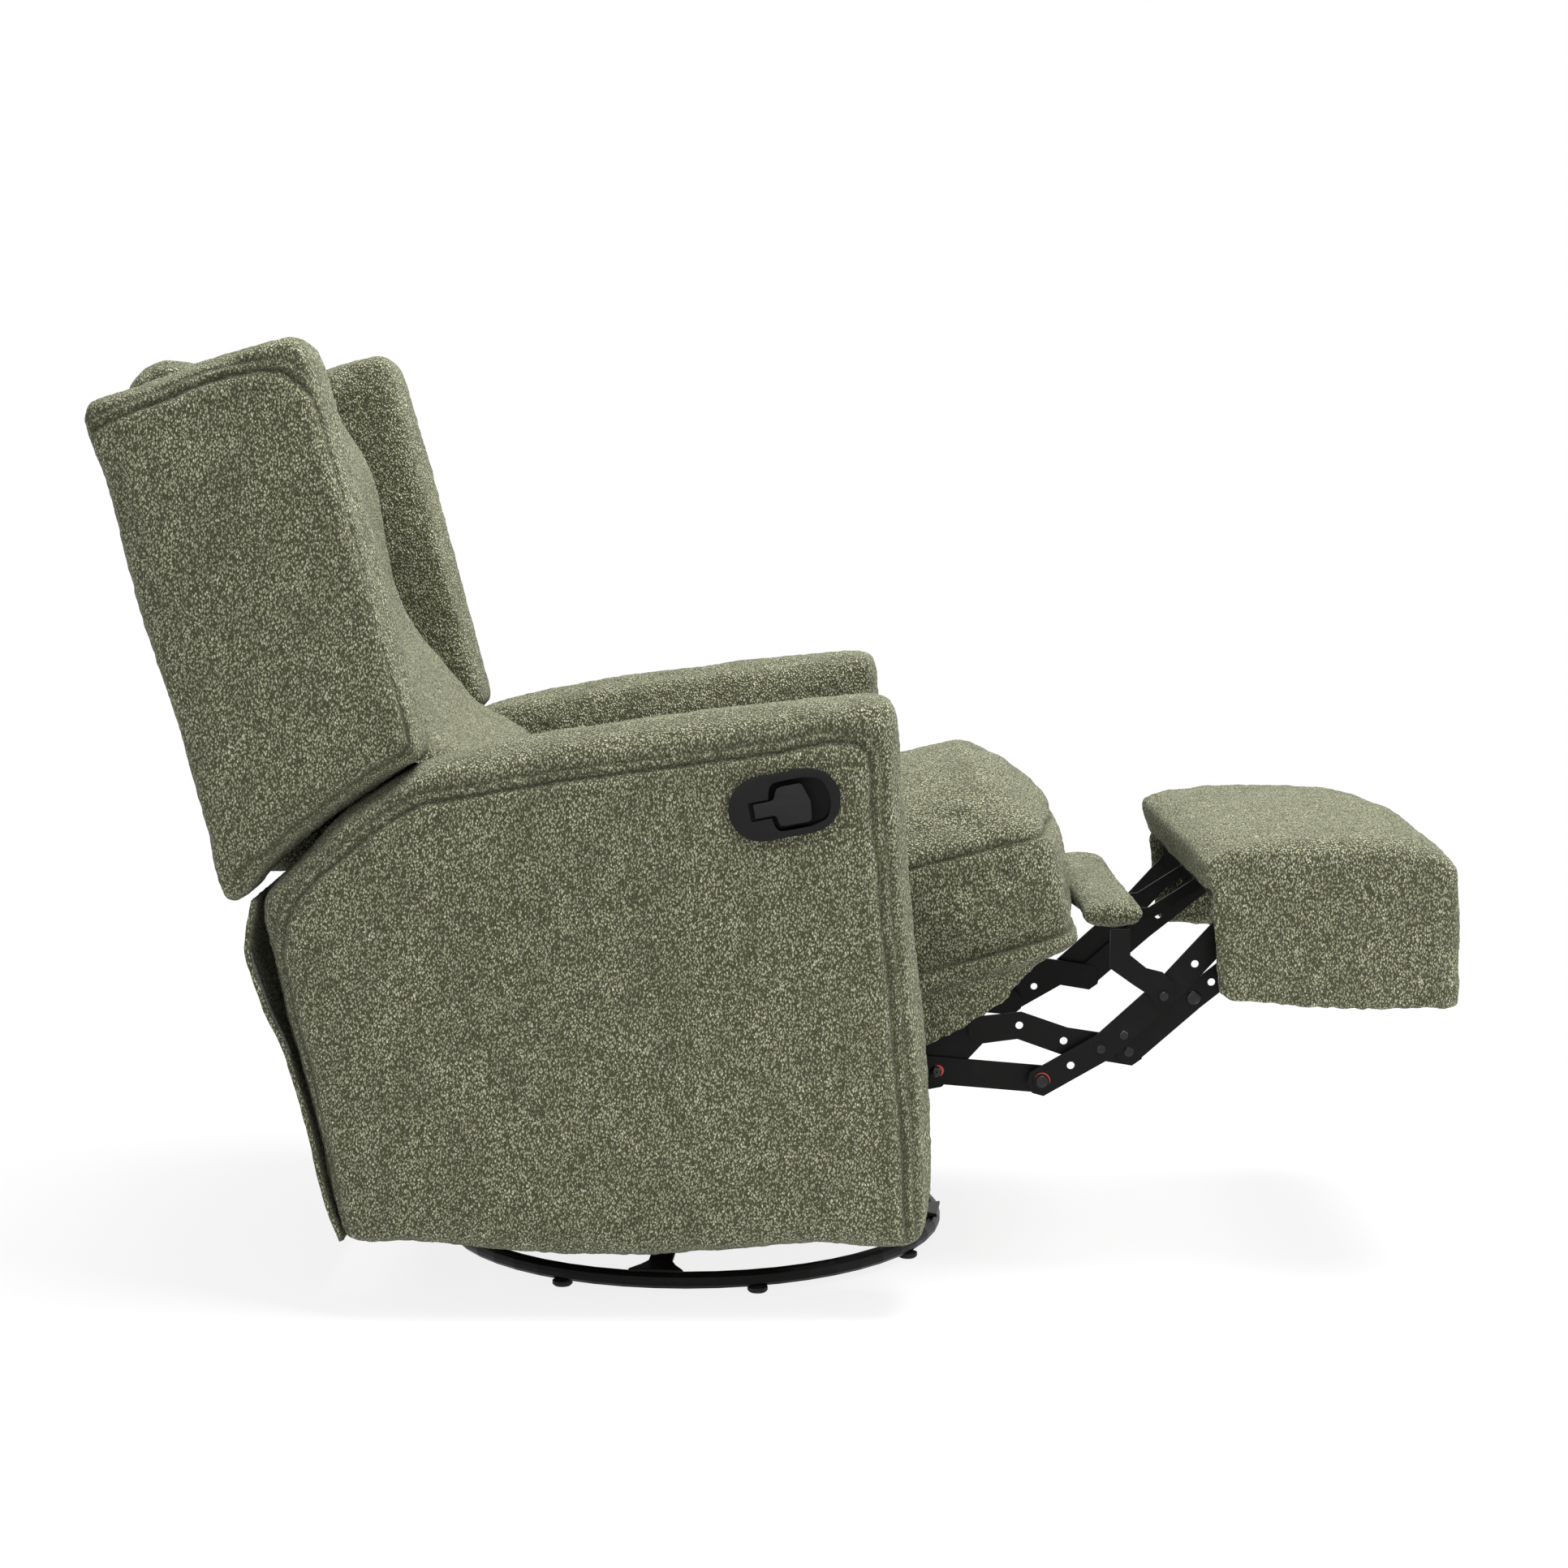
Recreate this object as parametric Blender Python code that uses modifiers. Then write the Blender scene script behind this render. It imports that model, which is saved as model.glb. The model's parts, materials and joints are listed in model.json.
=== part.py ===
"""Swivel recliner: upholstered chair on a round swivel base, shown leaned back
with its footrest out.  Metres, +Z up, the seat faces +X, the floor is z = 0."""
import bpy
import bmesh
import math
from mathutils import Matrix, Vector

# Driving sizes.
# Places along X are given forward of the swivel axis; heights are above the floor.
overall_width = 0.760
swivel_back_of_centre = 0.117
arm_width = 0.115
back_in_from_side = 0.010
seat_in_from_arm = 0.0030
footrest_in_from_arm = 0.0025
plate_in_from_arm = 0.0546
post_in_from_arm = 0.0080
rear_panel_in_from_side = 0.0120
ring_radius = 0.278
fit_gap = 0.0003
seat_gap = 0.0006
overrun = 0.004
steel = 0.0026
layer_gap = 0.0006

half_width = overall_width / 2
arm_inner = half_width - arm_width
half_seat = arm_inner - seat_in_from_arm
half_back = half_width - back_in_from_side
half_footrest = arm_inner - footrest_in_from_arm
plate_inner = arm_inner - plate_in_from_arm
hinge_post_inner = arm_inner - post_in_from_arm
rear_panel_half = half_width - rear_panel_in_from_side

# Side shapes.
arm_profile = [(0.2175, 0.6480, 0.016), (0.2310, 0.4400, 0.0), (0.2620, 0.1120, 0.010),
               (0.2520, 0.0700, 0.012), (-0.1500, 0.0660, 0.0), (-0.3490, 0.0850, 0.010),
               (-0.3900, 0.2570, 0.0), (-0.4365, 0.4420, 0.014), (-0.2420, 0.5905, 0.012)]
wing_profile = [(-0.3870, 1.0270, 0.018), (-0.3300, 0.8800, 0.0), (-0.2800, 0.7120, 0.0),
                (-0.2560, 0.5880, 0.008), (-0.4650, 0.4410, 0.008), (-0.6000, 0.9290, 0.012)]
shell_profile = [(-0.5950, 0.9260, 0.014), (-0.5600, 0.9920, 0.018), (-0.5050, 0.9820, 0.014),
                 (-0.4620, 0.8600, 0.0), (-0.3700, 0.5150, 0.0), (-0.3700, 0.4520, 0.008),
                 (-0.4640, 0.4420, 0.008)]
cushion_profile = [(-0.5030, 0.9880, 0.020), (-0.4500, 0.9650, 0.016), (-0.3750, 0.8350, 0.0),
                   (-0.3150, 0.7350, 0.0), (-0.2430, 0.6520, 0.0), (-0.1800, 0.5750, 0.0),
                   (-0.1570, 0.5050, 0.020), (-0.1730, 0.4560, 0.012), (-0.3680, 0.4560, 0.008),
                   (-0.3690, 0.5150, 0.0), (-0.4610, 0.8600, 0.0)]
seat_profile = [(-0.1900, 0.4150, 0.020), (0.0500, 0.4400, 0.0), (0.2300, 0.4720, 0.0),
                (0.4020, 0.5040, 0.016), (0.4160, 0.4600, 0.0), (0.4200, 0.4000, 0.010),
                (0.2420, 0.3580, 0.0), (-0.1900, 0.2520, 0.014)]
apron_profile = [(0.2400, 0.3568, 0.006), (0.4160, 0.3982, 0.006), (0.3830, 0.3560, 0.0),
                 (0.3445, 0.3100, 0.0), (0.3080, 0.2840, 0.0), (0.2650, 0.2630, 0.0),
                 (0.2370, 0.2490, 0.008), (0.2290, 0.2620, 0.008)]
cheek_lift = 0.0025
seat_crown = 0.068
seat_crown_fade = 0.034
seat_edge = 0.040
seat_round = 0.010
arm_edge_share = 0.2435
arm_round_share = 0.1130
wing_edge_share = 0.2000
wing_round_share = 0.0550
shell_edge = 0.012
shell_round = 0.004
seat_crown_rear_share = 0.30
seat_slope = math.radians(13.79)

rear_panel_profile = [(-0.4480, 0.4340), (-0.4590, 0.4000), (-0.4440, 0.3500), (-0.4020, 0.2350),
                   (-0.3720, 0.1500), (-0.3509, 0.0920)]
rear_panel_thickness = 0.011

# Footrest.
footrest_profile = [(0.5460, 0.4750, 0.018), (0.8320, 0.4680, 0.020), (0.8220, 0.3040, 0.010),
                    (0.5660, 0.3210, 0.010)]
footrest_cavity = [(0.5300, 0.4360), (0.7980, 0.4300), (0.7900, 0.2900), (0.5300, 0.2900)]
footrest_wall = 0.0190
footrest_board_thickness = 0.012
footrest_board_ends = (0.562, 0.792)
footrest_crown = 0.014
footrest_edge = 0.028
footrest_round = 0.006

# Linkage.
front_pivot = (0.2581, 0.2320)
rear_pivot = (0.3191, 0.2762)
elbow_pivot = (0.3827, 0.2214)
cross_pivot = (0.4453, 0.2580)
end_pivot = (0.4777, 0.2526)
long_top_in = 0.0387
long_top_down = 0.0408
short_top_ahead = 0.0362
short_top_down = 0.0225
long_top_pivot = (footrest_profile[0][0] + long_top_in, footrest_cavity[0][1] - long_top_down)
short_top_pivot = (long_top_pivot[0] + short_top_ahead, long_top_pivot[1] - short_top_down)
pad_pivot_in = 0.0290
pad_pivot_down = 0.0240
pad_pivot = (footrest_profile[0][0] + pad_pivot_in, footrest_cavity[0][1] - pad_pivot_down)
pad_stop_rivet = (0.5130, 0.3150)
bracket_reach = 2.2
bracket_flange = 0.8
bracket_stop = 2.0
link_width = 0.030
link_hole = 0.0042
rear_link_profile = [(0.3590, 0.2810), (0.4070, 0.2640)]
short_link_bend = (0.5450, 0.3120)
short_link_hole = (0.5650, 0.3290)
long_link_profile = [(0.4500, 0.2600), (0.5200, 0.3240)]
long_link_hole_places = [(0.4140, 0.2390), (0.5460, 0.3500)]
pin_radius = 0.0045
pin_gap = 0.0003
open_pin_gap = 0.0032
head_radius = 0.0085
head_height = 0.0018
plate_thickness = 0.0040
layers_start = plate_inner + plate_thickness + layer_gap
shaft_radius = 0.0085
pad_behind_pivot = 0.1130
pad_below_pivot = 0.0140
pad_centre = (pad_pivot[0] - pad_behind_pivot, pad_pivot[1] - pad_below_pivot)
pad_length = 0.070
pad_thickness = 0.028
pad_in_from_plate = 0.0049
pad_half_width = plate_inner - pad_in_from_plate
pad_edge = 0.016
pad_round = 0.006
calf_arm_width = 0.0130
calf_arm_inner = 0.0550
calf_arm_bend_step = (0.0550, 0.0350)
calf_arm_top_step = (0.1050, 0.0365)
calf_tab_steps = (0.1300, 0.0900)
calf_arm_bend = (pad_pivot[0] - calf_arm_bend_step[0], pad_pivot[1] - calf_arm_bend_step[1])
calf_arm_top = (pad_pivot[0] - calf_arm_top_step[0], pad_pivot[1] - calf_arm_top_step[1])
calf_tab_ends = (pad_pivot[0] - calf_tab_steps[0], pad_pivot[0] - calf_tab_steps[1])
calf_tab_length = 0.0400
calf_lug_width = 0.0140
calf_lug_length = 0.0400
calf_lug_behind = 0.0050
calf_lug_ends = (pad_pivot[0] - calf_lug_behind, pad_pivot[0] - calf_lug_behind + calf_lug_length)
calf_stop_outline = [(0.4545, 0.3880), (0.4545, 0.3458), (0.4793, 0.3281), (0.4969, 0.3166),
                     (0.5030, 0.3070), (0.5230, 0.3070), (0.5230, 0.3300), (0.5113, 0.3414),
                     (0.4938, 0.3458), (0.4762, 0.3599), (0.4757, 0.3880)]

# Chassis.
plate_outline = [(-0.275, 0.236), (-0.130, 0.2533), (0.205, 0.3360), (0.240, 0.3050),
                 (0.320, 0.2920), (0.335, 0.2780), (0.322, 0.2620), (0.276, 0.2120),
                 (0.245, 0.2060), (0.170, 0.1260), (-0.175, 0.1260), (-0.275, 0.2000)]
plate_hole = 0.010
plate_holes = [(0.060, 0.245), (-0.060, 0.220), (0.160, 0.270)]
rail_size = (0.270, 0.052)
rail_place = (0.005, 0.2225)
deck_thickness = 0.012
deck_ends = (-0.128, 0.226)
deck_line_point = (0.2420, 0.3580)
cross_tube_side = 0.030
cross_tube_wall = 0.0025
cross_tube_places = (-0.110, 0.090)
cross_tube_height = 0.1440
beam_size = (0.030, 0.060)
beam_place = (-0.222, 0.2748)
hinge_pivot = (-0.205, 0.500)
hinge_plate_thickness = 0.0030
hinge_bar_width = 0.036
hinge_bend = (-0.283, 0.550)
hinge_attach = (-0.445, 0.655)

# Base.
ring_section = (0.0175, 0.0190)
foot_radius = 0.0110
foot_height = 0.0060
foot_angles = (-119.0, -74.0, -29.0, 16.0, 61.0, 106.0, 151.0, 196.0)
spoke_angles = (-96.5, -6.5, 83.5, 173.5)
spoke_width = 0.026
spoke_flare = 0.060
spoke_thickness = 0.0040
hub_radius = 0.062
hub_height = 0.0560
housing_radius = 0.050
housing_height = 0.0300
swivel_plate_side = 0.230
swivel_plate_thickness = 0.0050
bolt_radius = 0.0080

# Handle.
handle_centre = (0.1055, 0.5410)
handle_length = 0.1150
handle_height = 0.0660
handle_tilt = math.radians(10.7)
handle_proud = 0.0045
handle_wall = 0.0030
dish_depth = 0.0200
dish_margin = 0.0080
paddle_thickness = 0.0070
paddle_outline = [(-0.0315, -0.0086, 0.0010), (-0.0098, -0.0086, 0.0040), (-0.0090, -0.0212, 0.0070),
                  (0.0245, -0.0212, 0.0040), (0.0270, -0.0008, 0.0030), (0.0205, 0.0190, 0.0025),
                  (-0.0060, 0.0190, 0.0070), (-0.0098, 0.0063, 0.0040), (-0.0315, 0.0063, 0.0010)]
cup_outline = [(-0.0150, -0.0111, 0.0040), (-0.0120, -0.0263, 0.0110), (0.0232, -0.0263, 0.0010),
               (0.0415, -0.0222, 0.0080), (0.0487, -0.0008, 0.0200), (0.0415, 0.0206, 0.0080),
               (0.0232, 0.0247, 0.0010), (-0.0110, 0.0247, 0.0110), (-0.0155, 0.0085, 0.0040)]
slot_box = (-0.0362, -0.0111, -0.0100, 0.0085)
paddle_gap = 0.0012
barrel_place = (-0.0285, -0.00115)
barrel_radius = 0.0045
barrel_length = 0.0125

ring_steps = 52
cage_spacing = 0.170
round_steps = 24


def clear_scene():
    """Empty the file of its objects, so that only the chair's pieces stay."""
    for thing in list(bpy.data.objects):
        bpy.data.objects.remove(thing, do_unlink=True)


def make_collection(name):
    """Return a new collection linked to the scene."""
    group = bpy.data.collections.new(name)
    bpy.context.scene.collection.children.link(group)
    return group


clear_scene()
parts = make_collection("swivel_recliner")
cutters = make_collection("cutters")


# Materials.
def material(name, colour, roughness, metallic=0.0):
    """A plain Principled material for one piece."""
    look = bpy.data.materials.new(name)
    look.use_nodes = True
    node = look.node_tree.nodes["Principled BSDF"]
    node.inputs["Base Color"].default_value = (colour[0], colour[1], colour[2], 1.0)
    node.inputs["Roughness"].default_value = roughness
    node.inputs["Metallic"].default_value = metallic
    return look


kinds = {
    "fabric": ((0.150, 0.155, 0.108), 0.95, 0.0),
    "black_steel": ((0.018, 0.018, 0.018), 0.45, 0.6),
    "black_plastic": ((0.025, 0.025, 0.025), 0.50, 0.0),
    "wood": ((0.420, 0.300, 0.180), 0.70, 0.0),
    "rubber": ((0.020, 0.020, 0.020), 0.80, 0.0),
}


def dress(piece, kind):
    """Give a piece its own material of the named kind."""
    colour, roughness, metallic = kinds[kind]
    piece.data.materials.clear()
    piece.data.materials.append(material(piece.name + "_" + kind, colour, roughness, metallic))


# Helpers.
def forward(distance):
    """X of a place that lies this far forward of the swivel axis."""
    return distance - swivel_back_of_centre


def add_object(name, mesh, group=None):
    """Link a mesh as a new object."""
    piece = bpy.data.objects.new(name, mesh)
    (group or parts).objects.link(piece)
    return piece


def smooth(piece):
    """Shade every face smooth."""
    piece.data.shade_smooth()
    return piece


def mesh_from_faces(name, points, faces):
    """A mesh from points and faces, with its normals made to agree."""
    mesh = bpy.data.meshes.new(name)
    mesh.from_pydata([tuple(p) for p in points], [], faces)
    tidy = bmesh.new()
    tidy.from_mesh(mesh)
    bmesh.ops.recalc_face_normals(tidy, faces=tidy.faces)
    tidy.to_mesh(mesh)
    tidy.free()
    return mesh


def as_cutter(piece):
    """Move a piece to the cutters' collection and hide it from pictures."""
    for group in list(piece.users_collection):
        group.objects.unlink(piece)
    cutters.objects.link(piece)
    piece.hide_render = True
    piece.display_type = "WIRE"
    return piece


def boolean(piece, tool, operation="DIFFERENCE"):
    """Combine a piece with a cutter."""
    step = piece.modifiers.new("Boolean", "BOOLEAN")
    step.operation = operation
    step.object = tool
    return piece


def bevel(piece, width, segments=2, angle=40.0):
    """Round the sharp edges of a piece."""
    step = piece.modifiers.new("Bevel", "BEVEL")
    step.width = width
    step.segments = segments
    step.limit_method = "ANGLE"
    step.angle_limit = math.radians(angle)
    return piece


def subdivide(piece, level=1):
    """Soften a coarse cage."""
    step = piece.modifiers.new("Subdivision", "SUBSURF")
    step.levels = level
    step.render_levels = level
    return piece


def circle_points(centre, radius, steps):
    """Points of a circle in a flat outline."""
    turn = 2 * math.pi / steps
    return [(centre[0] + radius * math.cos(i * turn), centre[1] + radius * math.sin(i * turn))
            for i in range(steps)]


def rounded(corners, arc_steps=2):
    """Outline through corners (x, z, radius), each corner cut by a short arc."""
    count = len(corners)
    outline = []
    for i in range(count):
        x, z, radius = corners[i]
        if radius == 0.0:
            outline.append((x, z))
            continue
        here = Vector((x, z))
        before = Vector(corners[i - 1][:2]) - here
        after = Vector(corners[(i + 1) % count][:2]) - here
        reach = min(radius, before.length * 0.45, after.length * 0.45)
        first = here + before.normalized() * reach
        last = here + after.normalized() * reach
        for k in range(arc_steps + 1):
            t = k / arc_steps
            point = (1 - t) ** 2 * first + 2 * t * (1 - t) * here + t ** 2 * last
            outline.append((point.x, point.y))
    return outline


def spaced(outline, longest):
    """Add points on the long edges of a closed outline."""
    result = []
    for i, point in enumerate(outline):
        following = outline[(i + 1) % len(outline)]
        gap = math.dist(point, following)
        pieces = max(1, math.ceil(gap / longest))
        for k in range(pieces):
            t = k / pieces
            result.append((point[0] + (following[0] - point[0]) * t,
                           point[1] + (following[1] - point[1]) * t))
    return result


def inset(outline, depth):
    """Move a closed outline inward by a depth, outward if it is negative."""
    count = len(outline)
    area = sum(outline[i][0] * outline[(i + 1) % count][1]
               - outline[(i + 1) % count][0] * outline[i][1] for i in range(count))
    turn = 1.0 if area > 0 else -1.0
    moved = []
    for i in range(count):
        a = Vector(outline[i]) - Vector(outline[i - 1])
        b = Vector(outline[(i + 1) % count]) - Vector(outline[i])
        along = (a.normalized() + b.normalized()).normalized()
        moved.append((outline[i][0] - along.y * depth * turn, outline[i][1] + along.x * depth * turn))
    return moved


def loft(name, outline, stations, group=None):
    """Solid through copies of an outline: stations hold (y, inset, lift) and each
    copy is the outline moved inward by its inset and raised by its lift."""
    points, faces = [], []
    count = len(outline)
    for y, depth, lift in stations:
        for x, z in inset(outline, depth):
            points.append((forward(x), y, z + lift))
    for k in range(len(stations) - 1):
        for i in range(count):
            j = (i + 1) % count
            faces.append((k * count + i, k * count + j, (k + 1) * count + j, (k + 1) * count + i))
    faces.append(tuple(range(count)))
    faces.append(tuple((len(stations) - 1) * count + i for i in reversed(range(count))))
    return add_object(name, mesh_from_faces(name, points, faces), group)


def soft_stations(inner, outer, edge, depth):
    """Stations of a padded slab between two sides, with rounded edges."""
    return [(inner, depth, 0.0), (inner + edge * soft_share, depth * soft_share, 0.0),
            (inner + edge, 0.0, 0.0), ((inner + outer) / 2, 0.0, 0.0), (outer - edge, 0.0, 0.0),
            (outer - edge * soft_share, depth * soft_share, 0.0), (outer, depth, 0.0)]


soft_share = 0.30


def crowned_stations(half, edge, depth, crown, sections=6):
    """Stations across the seat: rounded ends and a crown that swells the middle."""
    stations = [(-half, depth, 0.0), (-half + edge * soft_share, depth * soft_share, 0.0)]
    for k in range(sections + 1):
        share = -1 + 2 * k / sections
        stations.append((share * (half - edge), -crown * math.cos(share * math.pi / 2), 0.0))
    stations += [(half - edge * soft_share, depth * soft_share, 0.0), (half, depth, 0.0)]
    return stations


def mirrored(name, source):
    """A copy of a piece on the other side of the middle plane, with its own mesh."""
    mesh = source.data.copy()
    mesh.transform(Matrix.Scale(-1.0, 4, Vector((0.0, 1.0, 0.0))))
    mesh.flip_normals()
    piece = add_object(name, mesh)
    for old in source.modifiers:
        step = piece.modifiers.new(old.name, old.type)
        if old.type == "BEVEL":
            step.width, step.segments = old.width, old.segments
            step.limit_method, step.angle_limit = old.limit_method, old.angle_limit
        if old.type == "SUBSURF":
            step.levels, step.render_levels = old.levels, old.render_levels
    return piece


def upright_plate(name, outline, holes, inner, thickness, group=None):
    """Flat plate that stands along the chair: an outline in X and Z with round
    holes (x, z, radius), filled and extruded between inner and inner + thickness."""
    curve = bpy.data.curves.new(name, "CURVE")
    curve.dimensions = "2D"
    curve.fill_mode = "BOTH"
    curve.extrude = thickness / 2
    loops = [outline] + [circle_points((x, z), radius, 16) for x, z, radius in holes]
    for loop in loops:
        spline = curve.splines.new("POLY")
        spline.points.add(len(loop) - 1)
        for point, (x, z) in zip(spline.points, loop):
            point.co = (forward(x), z, 0.0, 1.0)
        spline.use_cyclic_u = True
    drawn = bpy.data.objects.new(name + "_outline", curve)
    parts.objects.link(drawn)
    bpy.context.view_layer.update()
    mesh = bpy.data.meshes.new_from_object(drawn)
    bpy.data.objects.remove(drawn, do_unlink=True)
    tidy = bmesh.new()
    tidy.from_mesh(mesh)
    bmesh.ops.remove_doubles(tidy, verts=tidy.verts, dist=fit_gap / 10)
    bmesh.ops.recalc_face_normals(tidy, faces=tidy.faces)
    tidy.to_mesh(mesh)
    tidy.free()
    mesh.transform(Matrix.Rotation(math.radians(90.0), 4, "X"))
    mesh.transform(Matrix.Translation((0.0, inner + thickness / 2, 0.0)))
    mesh.name = name
    return add_object(name, mesh, group)


def turned(name, profile, steps, turn=None, group=None):
    """Turned piece: a profile (radius, height), run from top to bottom, about Z."""
    mesh = bpy.data.meshes.new(name)
    edges = [(i, i + 1) for i in range(len(profile) - 1)]
    if profile[0][0] > 0.0:
        edges.append((len(profile) - 1, 0))
    mesh.from_pydata([(r, 0.0, z) for r, z in profile], edges, [])
    piece = add_object(name, mesh, group)
    step = piece.modifiers.new("Screw", "SCREW")
    step.steps = steps
    step.render_steps = steps
    step.use_merge_vertices = True
    step.merge_threshold = fit_gap / 10
    if turn is not None:
        piece.matrix_world = turn
    return smooth(piece)


def cross_pin(name, place, radius, start, end, group=None, steps=round_steps):
    """Round pin along Y at a place in X and Z, between two values of Y."""
    low, high = min(start, end), max(start, end)
    outline = circle_points(place, radius, steps)
    points = [(forward(x), y, z) for y in (low, high) for x, z in outline]
    faces = [(i, (i + 1) % steps, steps + (i + 1) % steps, steps + i) for i in range(steps)]
    faces += [tuple(range(steps)), tuple(reversed(range(steps, 2 * steps)))]
    return add_object(name, mesh_from_faces(name, points, faces), group)


def block(name, low, high, group=None):
    """Rectangular block between two corners."""
    points = [(x, y, z) for x in (low[0], high[0]) for y in (low[1], high[1])
              for z in (low[2], high[2])]
    faces = [(0, 1, 3, 2), (4, 6, 7, 5), (0, 4, 5, 1), (2, 3, 7, 6), (0, 2, 6, 4), (1, 5, 7, 3)]
    return add_object(name, mesh_from_faces(name, points, faces), group)


def layer(number):
    """Inner face of a layer of the linkage, counted outward from the side plate."""
    return layers_start + number * (steel + layer_gap)


def bar_outline(path, width, chamfer_share=0.30):
    """Outline of a flat bar that follows a path, with chamfered ends."""
    half = width / 2
    left, right = [], []
    count = len(path)
    for i, point in enumerate(path):
        here = Vector(point)
        ahead = (Vector(path[min(i + 1, count - 1)]) - Vector(path[max(i - 1, 0)])).normalized()
        side = Vector((-ahead.y, ahead.x))
        if i in (0, count - 1):
            out = ahead * half if i else -ahead * half
            near = here + out * (1 - chamfer_share * 2)
            tip_half = half * (1 - chamfer_share * 2)
            first, last = (near, here + out) if i else (here + out, near)
            widths = (half, tip_half) if i else (tip_half, half)
            left += [first + side * widths[0], last + side * widths[1]]
            right += [first - side * widths[0], last - side * widths[1]]
        else:
            left.append(here + side * half)
            right.append(here - side * half)
    return [(p.x, p.y) for p in left] + [(p.x, p.y) for p in reversed(right)]


def joined(piece, pins):
    """Weld round pins (place, radius, start, end) to a plate."""
    for number, (place, radius, start, end) in enumerate(pins):
        pin = cross_pin(piece.name + "_pin_%d" % number, place, radius, start, end)
        boolean(piece, as_cutter(pin), "UNION")
    return piece


# Base.
def base_ring():
    """Flattened tube bent to a circle."""
    wide, high = ring_section[0] / 2, ring_section[1] / 2
    centre = foot_height + high
    points = circle_points((ring_radius, centre), 1.0, 12)
    profile = [(ring_radius + (x - ring_radius) * wide, centre + (z - centre) * high)
               for x, z in points]
    place = Matrix.Translation((forward(0.0), 0.0, 0.0))
    dress(turned("base_ring", list(reversed(profile)), ring_steps, place), "black_steel")


def spider():
    """Hub plate with four arms that slope down to the ring and widen on it."""
    top_of_ring = foot_height + ring_section[1] + fit_gap + spoke_thickness
    reach = ring_radius + ring_section[0] * 0.4
    stations = [(hub_radius, spoke_width, hub_height),
                (hub_radius * 1.3, spoke_width, hub_height),
                (ring_radius * 0.50, spoke_width, hub_height * 0.92),
                (ring_radius * 0.74, spoke_width, top_of_ring * 1.30),
                (ring_radius * 0.90, spoke_width, top_of_ring),
                (ring_radius * 0.96, spoke_width * 1.5, top_of_ring),
                (reach, spoke_flare, top_of_ring)]
    points, faces, roots = [], [], []
    for angle in spoke_angles:
        along = Vector((math.cos(math.radians(angle)), math.sin(math.radians(angle)), 0.0))
        side = Vector((-along.y, along.x, 0.0))
        start = len(points)
        for radius, width, height in stations:
            for hand in (-1, 1):
                spot = along * radius + side * (hand * width / 2)
                points.append((forward(0.0) + spot.x, spot.y, height))
        for k in range(len(stations) - 1):
            a = start + 2 * k
            faces.append((a, a + 2, a + 3, a + 1))
        roots += [start, start + 1]
    hub = []
    for number, angle in enumerate(spoke_angles):
        hub += [roots[2 * number], roots[2 * number + 1]]
        middle = math.radians(angle + 45.0)
        points.append((forward(0.0) + hub_radius * math.cos(middle),
                       hub_radius * math.sin(middle), hub_height))
        hub.append(len(points) - 1)
    faces.append(tuple(hub))
    piece = add_object("base_spider", mesh_from_faces("base_spider", points, faces))
    shell = piece.modifiers.new("Solidify", "SOLIDIFY")
    shell.thickness = spoke_thickness
    shell.offset = -1.0 if piece.data.polygons[-1].normal.z > 0 else 1.0
    bevel(piece, spoke_thickness * 0.2, 1, 50.0)
    dress(piece, "black_steel")


def feet():
    """Eight small glides under the ring."""
    for number, angle in enumerate(foot_angles):
        turn = math.radians(angle)
        place = Matrix.Translation((forward(0.0) + ring_radius * math.cos(turn),
                                    ring_radius * math.sin(turn), 0.0))
        top = foot_height - fit_gap
        profile = [(0.0, top), (foot_radius, top), (foot_radius, top * 0.35),
                   (foot_radius * 0.8, 0.0), (0.0, 0.0)]
        dress(turned("base_foot_%d" % (number + 1), profile, 16, place), "rubber")


def swivel_housing():
    """Turned bearing housing on the hub, with the bolt it turns on."""
    low = hub_height + fit_gap
    high = low + housing_height
    bolt_top = high + swivel_plate_thickness + fit_gap * 2 + bolt_radius
    profile = [(0.0, bolt_top), (bolt_radius * 0.9, bolt_top),
               (bolt_radius, bolt_top - bolt_radius * 0.1), (bolt_radius, high),
               (housing_radius * 0.9, high), (housing_radius, high - housing_height * 0.15),
               (housing_radius, low + housing_height * 0.45),
               (housing_radius * 1.15, low + housing_height * 0.30),
               (housing_radius * 1.15, low), (0.0, low)]
    place = Matrix.Translation((forward(0.0), 0.0, 0.0))
    dress(turned("swivel_housing", profile, 40, place), "black_steel")


# Chassis.
def swivel_top():
    """Square plate that turns on the housing and carries the cross tubes."""
    low = hub_height + housing_height + fit_gap * 2
    half = swivel_plate_side / 2
    piece = block("swivel_plate", (forward(-half), -half, low),
                  (forward(half), half, low + swivel_plate_thickness))
    hole = turned("swivel_plate_hole", [(0.0, low + swivel_plate_thickness + overrun),
                                        (bolt_radius + fit_gap, low + swivel_plate_thickness + overrun),
                                        (bolt_radius + fit_gap, low - overrun), (0.0, low - overrun)],
                  24, Matrix.Translation((forward(0.0), 0.0, 0.0)))
    boolean(piece, as_cutter(hole))
    bevel(piece, swivel_plate_thickness * 0.2, 1, 50.0)
    dress(piece, "black_steel")


def swivel_risers():
    """Two channels that raise the cross tubes above the swivel plate."""
    low = hub_height + housing_height + fit_gap * 3 + swivel_plate_thickness
    high = cross_tube_height - cross_tube_side / 2 - fit_gap
    half = swivel_plate_side / 2
    for name, hand in (("left", 1.0), ("right", -1.0)):
        sides = sorted((hand * half * 0.60, hand * half * 0.95))
        piece = block("riser_" + name, (forward(cross_tube_places[0] - cross_tube_side / 2), sides[0], low),
                      (forward(cross_tube_places[1] + cross_tube_side / 2), sides[1], high))
        bevel(piece, 0.1 * (high - low), 2, 50.0)
        dress(piece, "black_steel")


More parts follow.
